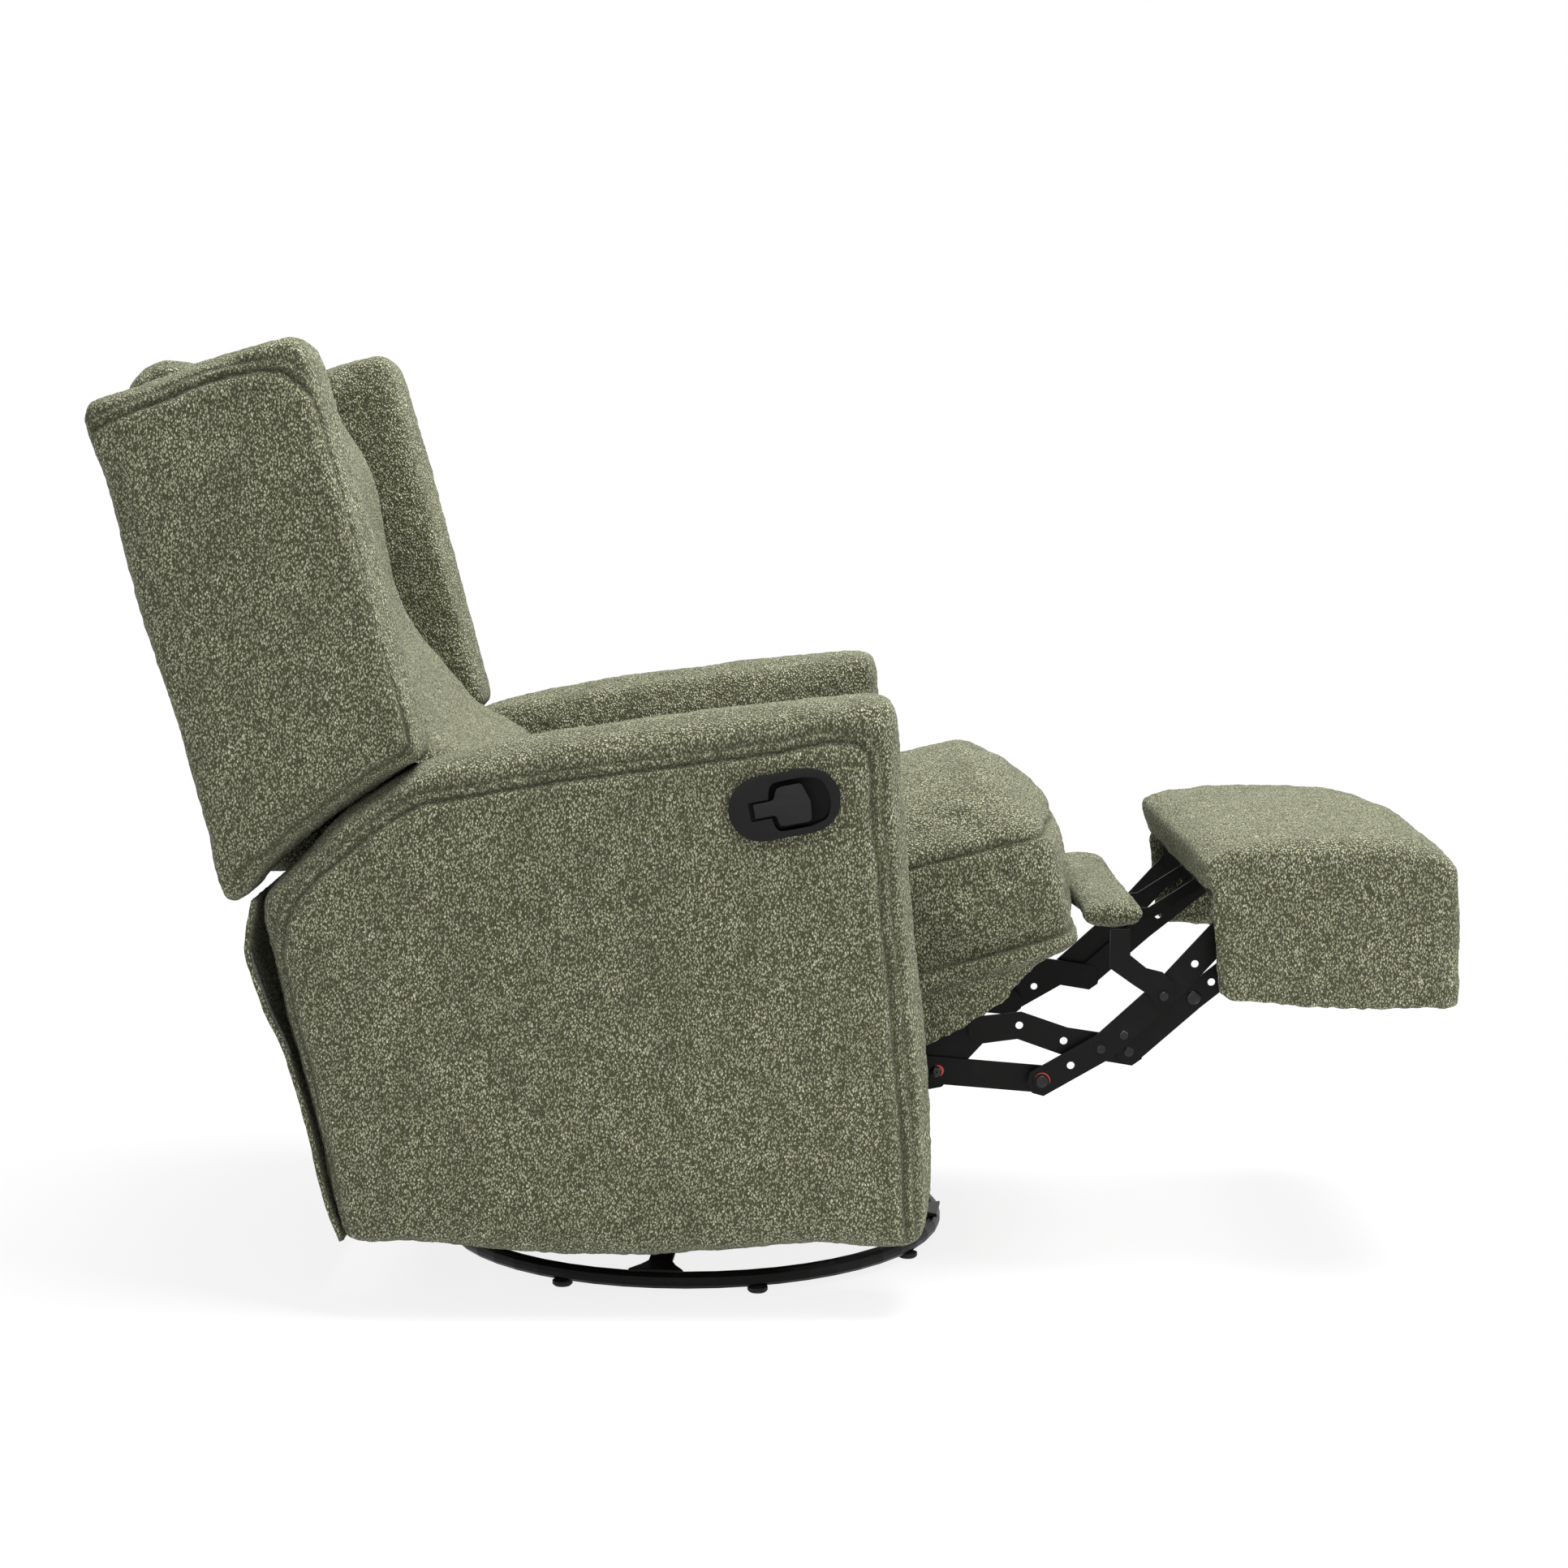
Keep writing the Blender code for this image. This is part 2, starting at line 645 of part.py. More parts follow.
def cross_tubes():
    """Two square tubes across the chair between the side plates."""
    reach = plate_inner - fit_gap
    for name, place in zip(("rear", "front"), cross_tube_places):
        half = cross_tube_side / 2
        piece = block("cross_tube_" + name, (forward(place - half), -reach, cross_tube_height - half),
                      (forward(place + half), reach, cross_tube_height + half))
        hollow = half - cross_tube_wall
        core = block("tube_core_" + name,
                     (forward(place - hollow), -reach - overrun, cross_tube_height - hollow),
                     (forward(place + hollow), reach + overrun, cross_tube_height + hollow))
        boolean(piece, as_cutter(core))
        dress(piece, "black_steel")


def side_plates():
    """Steel plates that carry the pivots of the footrest linkage."""
    holes = [(front_pivot[0], front_pivot[1], shaft_radius + pin_gap),
             (rear_pivot[0], rear_pivot[1], pin_radius + pin_gap)]
    holes += [(x, z, plate_hole) for x, z in plate_holes]
    left = upright_plate("side_plate_left", plate_outline, holes, plate_inner, plate_thickness)
    dress(left, "black_steel")
    dress(mirrored("side_plate_right", left), "black_steel")


def side_rails():
    """Wooden rails between the side plates and the upholstered sides."""
    inner = plate_inner + plate_thickness + fit_gap
    outer = arm_inner + fit_gap
    for name, hand in (("left", 1.0), ("right", -1.0)):
        low, high = sorted((hand * inner, hand * outer))
        piece = block("side_rail_" + name,
                      (forward(rail_place[0] - rail_size[0] / 2), low, rail_place[1] - rail_size[1] / 2),
                      (forward(rail_place[0] + rail_size[0] / 2), high, rail_place[1] + rail_size[1] / 2))
        bevel(piece, rail_size[1] * 0.05, 1, 50.0)
        dress(piece, "wood")


def rear_beam():
    """Wooden beam behind the seat, between the two hinge posts."""
    reach = hinge_post_inner - fit_gap
    piece = block("rear_beam", (forward(beam_place[0] - beam_size[0] / 2), -reach,
                                beam_place[1] - beam_size[1] / 2),
                  (forward(beam_place[0] + beam_size[0] / 2), reach, beam_place[1] + beam_size[1] / 2))
    bevel(piece, beam_size[0] * 0.08, 1, 50.0)
    dress(piece, "wood")


def hinge_posts():
    """Steel posts on the ends of the rear beam that hold the back's hinge."""
    path = [(beam_place[0], beam_place[1] - beam_size[1] * 0.3), (beam_place[0], beam_place[1]), hinge_pivot]
    outline = bar_outline(path, hinge_bar_width)
    holes = [(hinge_pivot[0], hinge_pivot[1], shaft_radius + pin_gap)]
    left = upright_plate("hinge_post_left", outline, holes, hinge_post_inner, hinge_plate_thickness)
    dress(left, "black_steel")
    dress(mirrored("hinge_post_right", left), "black_steel")


def seat_deck():
    """Sloping board that carries the seat cushion."""
    rise = math.tan(seat_slope)
    top = [deck_line_point[1] - (deck_line_point[0] - x) * rise - seat_gap for x in deck_ends]
    outline = [(deck_ends[0], top[0]), (deck_ends[1], top[1]),
               (deck_ends[1], top[1] - deck_thickness), (deck_ends[0], top[0] - deck_thickness)]
    piece = upright_plate("seat_deck", outline, [], -half_seat, 2 * half_seat)
    bevel(piece, deck_thickness * 0.12, 1, 50.0)
    dress(piece, "wood")


def arms():
    """Upholstered sides, each one padded slab from the arm's top to the hem."""
    outline = spaced(rounded(arm_profile, 1), cage_spacing)
    deep = half_width - arm_inner
    stations = soft_stations(arm_inner, half_width, deep * arm_edge_share, deep * arm_round_share)
    left = smooth(subdivide(loft("side_left", outline, stations)))
    dress(left, "fabric")
    right = smooth(mirrored("side_right", left))
    pocket = handle_solid("handle_pocket", dish_margin - handle_wall - seat_gap,
                          -half_width + dish_depth + handle_wall + seat_gap, -half_width - overrun * 3)
    boolean(right, as_cutter(pocket))
    dress(right, "fabric")


def rear_panel():
    """Slack fabric panel that closes the chair behind, below the back."""
    half = rear_panel_thickness / 2
    front, behind = [], []
    count = len(rear_panel_profile)
    for i, point in enumerate(rear_panel_profile):
        ahead = (Vector(rear_panel_profile[min(i + 1, count - 1)])
                 - Vector(rear_panel_profile[max(i - 1, 0)])).normalized()
        side = Vector((-ahead.y, ahead.x)) * half
        front.append((point[0] + side.x, point[1] + side.y))
        behind.append((point[0] - side.x, point[1] - side.y))
    outline = front + list(reversed(behind))
    hem = rear_panel_thickness * 0.11
    stations = [(-rear_panel_half, hem, 0.0), (-rear_panel_half * 0.96, 0.0, 0.0),
                (rear_panel_half * 0.96, 0.0, 0.0), (rear_panel_half, hem, 0.0)]
    piece = smooth(subdivide(loft("rear_panel", outline, stations)))
    dress(piece, "fabric")


def seat():
    """Thick seat cushion with a crown."""
    outline = spaced(rounded(seat_profile, 1), cage_spacing * 0.9)
    stations = crowned_stations(half_seat, seat_edge, seat_round, 0.0)
    piece = loft("seat_cushion", outline, stations)
    for vertex in piece.data.vertices:
        across = max(0.0, 1 - (vertex.co.y / half_seat) ** 2)
        line = deck_line_point[1] + (vertex.co.x - forward(deck_line_point[0])) * math.tan(seat_slope)
        share = min(1.0, max(0.0, (vertex.co.z - line - seat_crown_fade) / (seat_crown_fade * 2)))
        fall = min(1.0, max(seat_crown_rear_share, (vertex.co.x - forward(seat_profile[0][0])) / half_seat))
        vertex.co.z += seat_crown * across * share * fall
    smooth(subdivide(piece))
    dress(piece, "fabric")


def apron():
    """Padded front below the cushion: a middle part and a cheek on each side."""
    middle = plate_inner - layer_gap * 2
    outline = rounded(apron_profile, 1)
    piece = loft("apron_middle", outline, [(-middle, shell_round, 0.0), (-middle + shell_edge, 0.0, 0.0),
                                           (0.0, 0.0, 0.0), (middle - shell_edge, 0.0, 0.0),
                                           (middle, shell_round, 0.0)])
    smooth(subdivide(piece))
    dress(piece, "fabric")
    inner = layer(6) + head_height + layer_gap
    outer = half_footrest - footrest_wall - layer_gap * 4
    raised = [(x, z + cheek_lift) if i < 4 else (x, z) for i, (x, z) in enumerate(outline)]
    left = upright_plate("apron_cheek_left", raised, [], inner, outer - inner)
    bevel(left, (outer - inner) * 0.3, 2, 50.0)
    dress(smooth(left), "fabric")
    dress(smooth(mirrored("apron_cheek_right", left)), "fabric")


# Back.
def wings():
    """Upholstered sides of the back."""
    outline = spaced(rounded(wing_profile, 1), cage_spacing)
    inner = hinge_post_inner + 2 * hinge_plate_thickness + layer_gap
    deep = half_back - inner
    stations = soft_stations(inner, half_back, deep * wing_edge_share, deep * wing_round_share)
    left = smooth(subdivide(loft("wing_left", outline, stations)))
    dress(left, "fabric")
    dress(smooth(mirrored("wing_right", left)), "fabric")


def back_shell():
    """Upholstered rear of the back, between the wings."""
    half = hinge_post_inner + hinge_plate_thickness + layer_gap + fit_gap
    outline = spaced(rounded(shell_profile, 1), cage_spacing * 1.2)
    stations = [(-half, shell_round, 0.0), (-half + shell_edge, 0.0, 0.0), (-half * 0.45, 0.0, 0.0),
                (half * 0.45, 0.0, 0.0), (half - shell_edge, 0.0, 0.0), (half, shell_round, 0.0)]
    piece = smooth(subdivide(loft("back_shell", outline, stations)))
    dress(piece, "fabric")


def back_cushion():
    """Thick cushion of the back that swells at the small of the back."""
    half = hinge_post_inner - 2 * layer_gap
    outline = spaced(rounded(cushion_profile, 1), cage_spacing * 0.8)
    stations = crowned_stations(half, seat_edge * 0.9, seat_round * 0.9, 0.0, 4)
    piece = smooth(subdivide(loft("back_cushion", outline, stations)))
    dress(piece, "fabric")


def hinge_brackets():
    """Steel brackets on the back's shell that turn on the hinge pins."""
    inner = hinge_post_inner + hinge_plate_thickness + layer_gap
    outline = bar_outline([hinge_pivot, hinge_bend,
                           hinge_attach], hinge_bar_width)
    left = upright_plate("hinge_bracket_left", outline, [], inner, hinge_plate_thickness)
    joined(left, [(hinge_pivot, shaft_radius, hinge_post_inner, inner + hinge_plate_thickness / 2)])
    dress(left, "black_steel")
    right = upright_plate("hinge_bracket_right", outline, [], -inner - hinge_plate_thickness,
                          hinge_plate_thickness)
    joined(right, [(hinge_pivot, shaft_radius, -hinge_post_inner, -inner - hinge_plate_thickness / 2)])
    dress(right, "black_steel")


# Linkage.
def link(name, hand, path, holes, number, pins, width=link_width):
    """One flat link on one side: its bar in a layer, its holes and its pins."""
    inner = layer(number) if hand > 0 else -layer(number) - steel
    piece = upright_plate(name, bar_outline(path, width), holes, inner, steel)
    joined(piece, [(place, radius, hand * start, hand * end) for place, radius, start, end in pins])
    dress(piece, "black_steel")
    return piece


def links():
    """The four links of each side."""
    loose = pin_radius + pin_gap
    for name, hand in (("left", 1.0), ("right", -1.0)):
        link("front_link_" + name, hand, [front_pivot, elbow_pivot], [], 0,
             [(elbow_pivot, pin_radius, layer(0) + steel / 2, layer(5)),
              (elbow_pivot, head_radius, layer(4) + steel + fit_gap, layer(5) + head_height),
              (front_pivot, head_radius, layer(0) + steel / 2, layer(0) + steel + head_height / 4)])
        link("rear_link_" + name, hand,
             [rear_pivot] + rear_link_profile + [cross_pivot, end_pivot],
             [(x, z, link_hole) for x, z in rear_link_profile], 1,
             [(rear_pivot, pin_radius, plate_inner, layer(1) + steel / 2),
              (end_pivot, pin_radius, layer(1) + steel / 2, layer(2) + steel)])
        link("short_link_" + name, hand, [end_pivot, short_link_bend, short_top_pivot],
             [(end_pivot[0], end_pivot[1], loose), (short_link_hole[0], short_link_hole[1], link_hole),
              (short_top_pivot[0], short_top_pivot[1], pin_radius + open_pin_gap * 0.7)], 2, [],
             link_width * 0.9)
        link("long_link_" + name, hand, [elbow_pivot] + long_link_profile + [long_top_pivot],
             [(elbow_pivot[0], elbow_pivot[1], loose)]
             + [(x, z, link_hole) for x, z in long_link_hole_places], 4,
             [(cross_pivot, head_radius * 0.8, layer(4) + steel / 2, layer(4) + steel + head_height / 4),
              (long_top_pivot, pin_radius, layer(3), layer(4) + steel / 2),
              (long_top_pivot, head_radius, layer(4) + steel / 2, layer(4) + steel + head_height / 2)])


def driving_shaft():
    """Round shaft across the chair that ties the two front links."""
    reach = layer(0) - fit_gap
    dress(smooth(cross_pin("driving_shaft", front_pivot, shaft_radius, -reach, reach)), "black_steel")


def footrest():
    """Padded box of the footrest, open below and behind, with its board."""
    outline = spaced(rounded(footrest_profile, 1), cage_spacing * 0.9)
    stations = crowned_stations(half_footrest, footrest_edge, footrest_round, 0.0, 4)
    cover = loft("footrest_cover", outline, stations)
    for vertex in cover.data.vertices:
        across = max(0.0, 1 - (vertex.co.y / half_footrest) ** 2)
        share = 1.0 if vertex.co.z > footrest_cavity[0][1] else 0.0
        vertex.co.z += footrest_crown * across * share
    smooth(subdivide(cover))
    hollow_half = half_footrest - footrest_wall
    hollow = upright_plate("footrest_hollow", footrest_cavity, [], -hollow_half, 2 * hollow_half)
    boolean(cover, as_cutter(hollow))
    dress(cover, "fabric")
    ends = footrest_board_ends
    slope = (footrest_cavity[1][1] - footrest_cavity[0][1]) / (footrest_cavity[1][0] - footrest_cavity[0][0])
    top = [footrest_cavity[0][1] + (x - footrest_cavity[0][0]) * slope - seat_gap for x in ends]
    outline = [(ends[0], top[0]), (ends[1], top[1]), (ends[1], top[1] - footrest_board_thickness),
               (ends[0], top[0] - footrest_board_thickness)]
    board_half = hollow_half - seat_gap
    board = upright_plate("footrest_board", outline, [], -board_half, 2 * board_half)
    dress(bevel(board, footrest_board_thickness * 0.1, 1, 50.0), "wood")
    return top


def footrest_brackets(top):
    """Steel plates under the board that turn on the links."""
    under = min(top) - footrest_board_thickness - fit_gap
    lobe = link_width * 0.40
    outline = [(long_top_pivot[0] - lobe, long_top_pivot[1] - lobe * 0.6),
               (long_top_pivot[0] - lobe * 0.5, long_top_pivot[1] - lobe),
               (short_top_pivot[0] - lobe * 0.6, short_top_pivot[1] - lobe),
               (short_top_pivot[0] + lobe * 0.6, short_top_pivot[1] - lobe),
               (short_top_pivot[0] + lobe, short_top_pivot[1] - lobe * 0.4),
               (short_top_pivot[0] + lobe * bracket_reach, under - lobe * bracket_flange),
               (footrest_board_ends[1] - lobe * bracket_stop, under - lobe * bracket_flange),
               (footrest_board_ends[1] - lobe * bracket_stop, under),
               (footrest_board_ends[0] + lobe * 0.6, under)]
    for name, hand in (("left", 1.0), ("right", -1.0)):
        inner = layer(3) if hand > 0 else -layer(3) - steel
        piece = upright_plate("footrest_bracket_" + name, outline,
                              [(long_top_pivot[0], long_top_pivot[1], pin_radius + pin_gap)], inner, steel)
        joined(piece, [(short_top_pivot, pin_radius, hand * (layer(2) + fit_gap),
                        hand * (layer(3) + steel / 2))])
        dress(piece, "black_steel")


def calf_lugs():
    """Steel lugs under the footrest's board that the small pad's arms turn on."""
    slope = (footrest_cavity[1][1] - footrest_cavity[0][1]) / (footrest_cavity[1][0] - footrest_cavity[0][0])
    under = [footrest_cavity[0][1] + (x - footrest_cavity[0][0]) * slope - seat_gap
             - footrest_board_thickness - fit_gap for x in calf_lug_ends]
    half = calf_lug_width / 2
    outline = [(pad_pivot[0] - half, pad_pivot[1] - half * 0.4),
               (pad_pivot[0] - half * 0.4, pad_pivot[1] - half),
               (pad_pivot[0] + half, pad_pivot[1] - half), (calf_lug_ends[1], under[1] - half * 0.6),
               (calf_lug_ends[1], under[1]), (calf_lug_ends[0], under[0]),
               (pad_pivot[0] - half, pad_pivot[1] + half * 0.4)]
    outer = calf_arm_inner - steel - fit_gap
    for name, hand in (("left", 1.0), ("right", -1.0)):
        inner = outer - steel if hand > 0 else -outer
        piece = upright_plate("calf_lug_" + name, outline, [], inner, steel)
        joined(piece, [(pad_pivot, pin_radius, hand * (outer - steel / 2),
                        hand * (outer + fit_gap + steel))])
        dress(piece, "black_steel")


def calf_pad():
    """Small pad between the seat and the footrest, with its two arms."""
    long_half, thick_half = pad_length / 2, pad_thickness / 2
    corner = pad_thickness * 0.35
    corners = [(pad_centre[0] - long_half, pad_centre[1] - thick_half, corner),
               (pad_centre[0] + long_half, pad_centre[1] - thick_half, corner),
               (pad_centre[0] + long_half, pad_centre[1] + thick_half, corner),
               (pad_centre[0] - long_half, pad_centre[1] + thick_half, corner)]
    stations = crowned_stations(pad_half_width, pad_edge, pad_round, 0.0, 1)
    piece = smooth(subdivide(loft("calf_pad", spaced(rounded(corners, 1), pad_length * 0.6), stations)))
    dress(piece, "fabric")
    inner = calf_arm_inner
    low = pad_centre[1] - thick_half - fit_gap
    path = [pad_pivot, calf_arm_bend, calf_arm_top]
    outline = bar_outline(path, calf_arm_width)
    for name, hand in (("left", 1.0), ("right", -1.0)):
        start = inner - steel if hand > 0 else -inner
        arm = upright_plate("calf_arm_" + name, outline,
                            [(pad_pivot[0], pad_pivot[1], pin_radius + pin_gap)], start, steel)
        sides = sorted((hand * (inner - calf_tab_length), hand * inner))
        tab = block("calf_tab_" + name, (forward(calf_tab_ends[0]), sides[0], low - steel),
                    (forward(calf_tab_ends[1]), sides[1], low))
        boolean(arm, as_cutter(tab), "UNION")
        dress(arm, "black_steel")


def calf_stops():
    """Bent brackets on the long links below the calf pad."""
    for name, hand in (("left", 1.0), ("right", -1.0)):
        inner = layer(5) if hand > 0 else -layer(5) - steel
        piece = upright_plate("calf_stop_" + name, calf_stop_outline, [], inner, steel)
        joined(piece, [(pad_stop_rivet, head_radius * 0.8, hand * (layer(5) + steel / 2),
                        hand * (layer(5) + steel + head_height / 2))])
        dress(piece, "black_steel")


# Handle.
def stadium(length, height, steps=10):
    """Outline of a stadium about the origin."""
    radius = height / 2
    reach = length / 2 - radius
    ends = []
    for hand in (1, -1):
        for k in range(steps + 1):
            turn = -math.pi / 2 + math.pi * k / steps
            ends.append((hand * (reach + radius * math.cos(turn)), hand * radius * math.sin(turn)))
    return ends


def handle_place(outline):
    """Turn and move an outline drawn about the handle's own centre."""
    c, s = math.cos(handle_tilt), math.sin(handle_tilt)
    return [(handle_centre[0] + x * c - z * s, handle_centre[1] + x * s + z * c) for x, z in outline]


def handle_solid(name, margin, inner, outer, group=None):
    """Stadium solid about the handle, smaller than its plate by a margin."""
    outline = handle_place(stadium(handle_length - 2 * margin, handle_height - 2 * margin))
    low, high = min(inner, outer), max(inner, outer)
    return upright_plate(name, outline, [], low, high - low, group)


def handle():
    """Stadium plate with a dish, and the paddle that turns in it."""
    face = -half_width - handle_proud
    floor = -half_width + dish_depth
    plate = handle_solid("handle_plate", 0.0, -half_width - fit_gap, face)
    dish = handle_solid("handle_dish", dish_margin - handle_wall, floor + handle_wall,
                        face + handle_proud / 2)
    boolean(plate, as_cutter(dish), "UNION")
    cut = upright_plate("handle_cup", handle_place(rounded(cup_outline, 3)), [], face - overrun,
                        floor - face + overrun)
    boolean(plate, as_cutter(cut))
    left, low, right, high = slot_box
    groove = upright_plate("handle_slot",
                           handle_place([(left, low), (right, low), (right, high), (left, high)]),
                           [], face - overrun, paddle_thickness + overrun + 2 * paddle_gap)
    boolean(plate, as_cutter(groove))
    dress(plate, "black_plastic")
    outline = handle_place(rounded(paddle_outline, 2))
    paddle = upright_plate("handle_paddle", outline, [], face + paddle_gap / 4, paddle_thickness)
    bevel(paddle, paddle_thickness * 0.10, 2, 50.0)
    spot = handle_place([barrel_place])[0]
    depth = face + paddle_thickness + 2 * paddle_gap - fit_gap - barrel_radius
    barrel = bmesh.new()
    bmesh.ops.create_cone(barrel, cap_ends=True, segments=20, radius1=barrel_radius, radius2=barrel_radius,
                          depth=barrel_length,
                          matrix=Matrix.Translation((forward(spot[0]), depth, spot[1]))
                          @ Matrix.Rotation(-handle_tilt, 4, "Y"))
    mesh = bpy.data.meshes.new("paddle_barrel")
    barrel.to_mesh(mesh)
    barrel.free()
    boolean(paddle, as_cutter(add_object("paddle_barrel", mesh)), "UNION")
    dress(paddle, "black_plastic")


def build():
    """Make every piece of the chair."""
    base_ring()
    spider()
    feet()
    swivel_housing()
    swivel_top()
    swivel_risers()
    cross_tubes()
    side_plates()
    side_rails()
    rear_beam()
    hinge_posts()
    seat_deck()
    arms()
    rear_panel()
    seat()
    apron()
    wings()
    back_shell()
    back_cushion()
    hinge_brackets()
    links()
    driving_shaft()
    footrest_brackets(footrest())
    calf_lugs()
    calf_pad()
    calf_stops()
    handle()


build()
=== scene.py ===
"""Swivel recliner in looped wool-like cloth, leaned back with its footrest out.

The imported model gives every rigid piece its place.  The padded pieces are skins that start
from the solids, are blown up as cushions, and then get their seams, welts and loops."""
import bpy
import bmesh
import json
import math
import numpy as np
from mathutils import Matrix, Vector


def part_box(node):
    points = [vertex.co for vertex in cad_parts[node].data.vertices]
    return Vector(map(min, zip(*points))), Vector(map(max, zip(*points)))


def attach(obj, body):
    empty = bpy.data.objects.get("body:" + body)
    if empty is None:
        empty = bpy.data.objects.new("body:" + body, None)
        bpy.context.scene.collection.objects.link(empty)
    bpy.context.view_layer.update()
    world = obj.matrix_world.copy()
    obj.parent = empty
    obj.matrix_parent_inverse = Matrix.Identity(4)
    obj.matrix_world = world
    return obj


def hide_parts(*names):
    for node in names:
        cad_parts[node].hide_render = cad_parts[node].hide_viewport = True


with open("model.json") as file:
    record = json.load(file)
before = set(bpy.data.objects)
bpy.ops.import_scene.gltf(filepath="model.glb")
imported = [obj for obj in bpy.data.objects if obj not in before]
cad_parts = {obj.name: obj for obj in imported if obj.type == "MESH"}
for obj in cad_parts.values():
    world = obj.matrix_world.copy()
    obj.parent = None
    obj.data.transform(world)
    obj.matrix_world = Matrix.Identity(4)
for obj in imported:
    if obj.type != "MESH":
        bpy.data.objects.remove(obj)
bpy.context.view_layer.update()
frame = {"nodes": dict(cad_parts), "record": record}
nodes = frame["nodes"]

# Places and sizes, in metres, that the looks share with the solids.
chair_middle = -0.117
side_face = 0.38
seat_face = 0.262
plate_middle = (-0.0115, 0.541)
plate_length = 0.115
plate_height = 0.066
plate_tilt = math.radians(10.7)
seat_solids = ["seat_cushion", "apron_middle", "apron_cheek_left", "apron_cheek_right"]

# Seams of the seat and the path of its roll, as planes that slope along X: the height at a
# place, the slope and that place.
top_seam = (0.4567, 0.243, 0.12)
low_seam = (0.3409, 0.285, 0.125)
apron_fold = (0.315, 0.31, 0.125)
roll_path = (0.3273, 0.298, 0.123)

# The cloth's own relief: height of its knots, depth of its slow dents, and the sizes of both.
knot_height = 0.00075
dent_depth = 0.001
big_knot, small_knot = 0.0082, 0.0048
wide_dent, small_dent = 0.055, 0.024

# Outlines of a side, a wing and the footrest as (x, z), seen along Y.
side_outline = [(0.106, 0.6), (0.105, 0.621), (0.0985, 0.644), (0.0774, 0.65), (0.0247, 0.6455),
                (-0.0667, 0.6355), (-0.17, 0.622), (-0.2471, 0.611), (-0.3078, 0.5995),
                (-0.3845, 0.58), (-0.4698, 0.5261), (-0.548, 0.443), (-0.5475, 0.4364),
                (-0.5459, 0.4038), (-0.538, 0.3652), (-0.5292, 0.313), (-0.5215, 0.288),
                (-0.511, 0.2464), (-0.4995, 0.202), (-0.4885, 0.1416), (-0.476, 0.1021),
                (-0.468, 0.08), (-0.4025, 0.075), (-0.32, 0.0665), (-0.2425, 0.06), (-0.15, 0.0605),
                (-0.067, 0.0667), (0.0165, 0.0725), (0.08, 0.0705), (0.1125, 0.07),
                (0.1237, 0.0755), (0.132, 0.0855), (0.1388, 0.111), (0.1418, 0.1255), (0.1412, 0.2),
                (0.1377, 0.27), (0.132, 0.32), (0.1245, 0.377), (0.1178, 0.46), (0.112, 0.548)]
wing_outline = [(-0.3868, 0.5766), (-0.3802, 0.5896), (-0.3843, 0.6077), (-0.3931, 0.6508),
                (-0.4089, 0.7082), (-0.4238, 0.7726), (-0.4429, 0.8437), (-0.4578, 0.9004),
                (-0.47, 0.9428), (-0.48, 0.98), (-0.49, 1.003), (-0.5043, 1.0125),
                (-0.5469, 1.0045), (-0.6038, 0.987), (-0.6553, 0.966), (-0.712, 0.947),
                (-0.72, 0.932), (-0.702, 0.8665), (-0.6855, 0.7927), (-0.662, 0.7071),
                (-0.6355, 0.6209), (-0.6115, 0.5253), (-0.593, 0.442), (-0.584, 0.436),
                (-0.5637, 0.4385), (-0.547, 0.4642), (-0.4707, 0.5283), (-0.3938, 0.579)]
foot_outline = [(0.4205, 0.468), (0.427, 0.485), (0.445, 0.4925), (0.5036, 0.495), (0.665, 0.493),
                (0.688, 0.484), (0.705, 0.468), (0.713, 0.45), (0.714, 0.39), (0.7125, 0.3432),
                (0.706, 0.3075), (0.5707, 0.3107), (0.456, 0.316), (0.449, 0.334), (0.444, 0.3896),
                (0.4385, 0.4358), (0.427, 0.45)]

# The footrest from above as (x, y), and its section across as (y, z).
foot_plan = [(0.715, -0.23), (0.715, 0.23), (0.71, 0.254), (0.696, 0.2665), (0.43, 0.2665),
             (0.419, 0.256), (0.419, -0.256), (0.43, -0.2665), (0.696, -0.2665), (0.71, -0.254)]
foot_section = [(0.266, 0.3), (0.266, 0.478), (0.261, 0.489), (0.25, 0.4945), (0.0, 0.4975),
                (-0.25, 0.4945), (-0.261, 0.489), (-0.266, 0.478), (-0.266, 0.3)]

# Front of the seat cushion from low to high, as (x, z).
seat_nose = [(0.304, 0.38), (0.303, 0.41), (0.301, 0.44), (0.295, 0.47), (0.287, 0.5),
             (0.278, 0.517), (0.25, 0.538), (0.2, 0.556), (0.12, 0.575)]

# Slack rear sheet from its top edge down, as (x, z).
rear_line = [(-0.5545, 0.44), (-0.5615, 0.4071), (-0.5632, 0.3836), (-0.555, 0.3578),
             (-0.5432, 0.3219), (-0.5262, 0.288), (-0.5142, 0.2464), (-0.5023, 0.202),
             (-0.4909, 0.1416), (-0.4785, 0.1021), (-0.4705, 0.0835)]

# Seam lines on the outer faces, as (x, z).
side_seam = [(0.116, 0.078), (0.112, 0.121), (0.111, 0.175), (0.106, 0.243), (0.103, 0.27),
             (0.097, 0.351), (0.09, 0.405), (0.084, 0.476), (0.079, 0.517), (0.077, 0.545),
             (0.077, 0.575), (0.074, 0.592), (0.066, 0.601), (0.052, 0.605), (0.029, 0.604),
             (0.006, 0.6), (-0.017, 0.595), (-0.191, 0.571), (-0.25, 0.564), (-0.286, 0.558),
             (-0.318, 0.552), (-0.35, 0.547), (-0.378, 0.542), (-0.404, 0.529), (-0.435, 0.508),
             (-0.462, 0.486), (-0.487, 0.466), (-0.508, 0.443), (-0.521, 0.417), (-0.526, 0.385),
             (-0.521, 0.356), (-0.516, 0.324), (-0.507, 0.291), (-0.498, 0.259), (-0.486, 0.192),
             (-0.479, 0.16), (-0.473, 0.127), (-0.465, 0.088)]
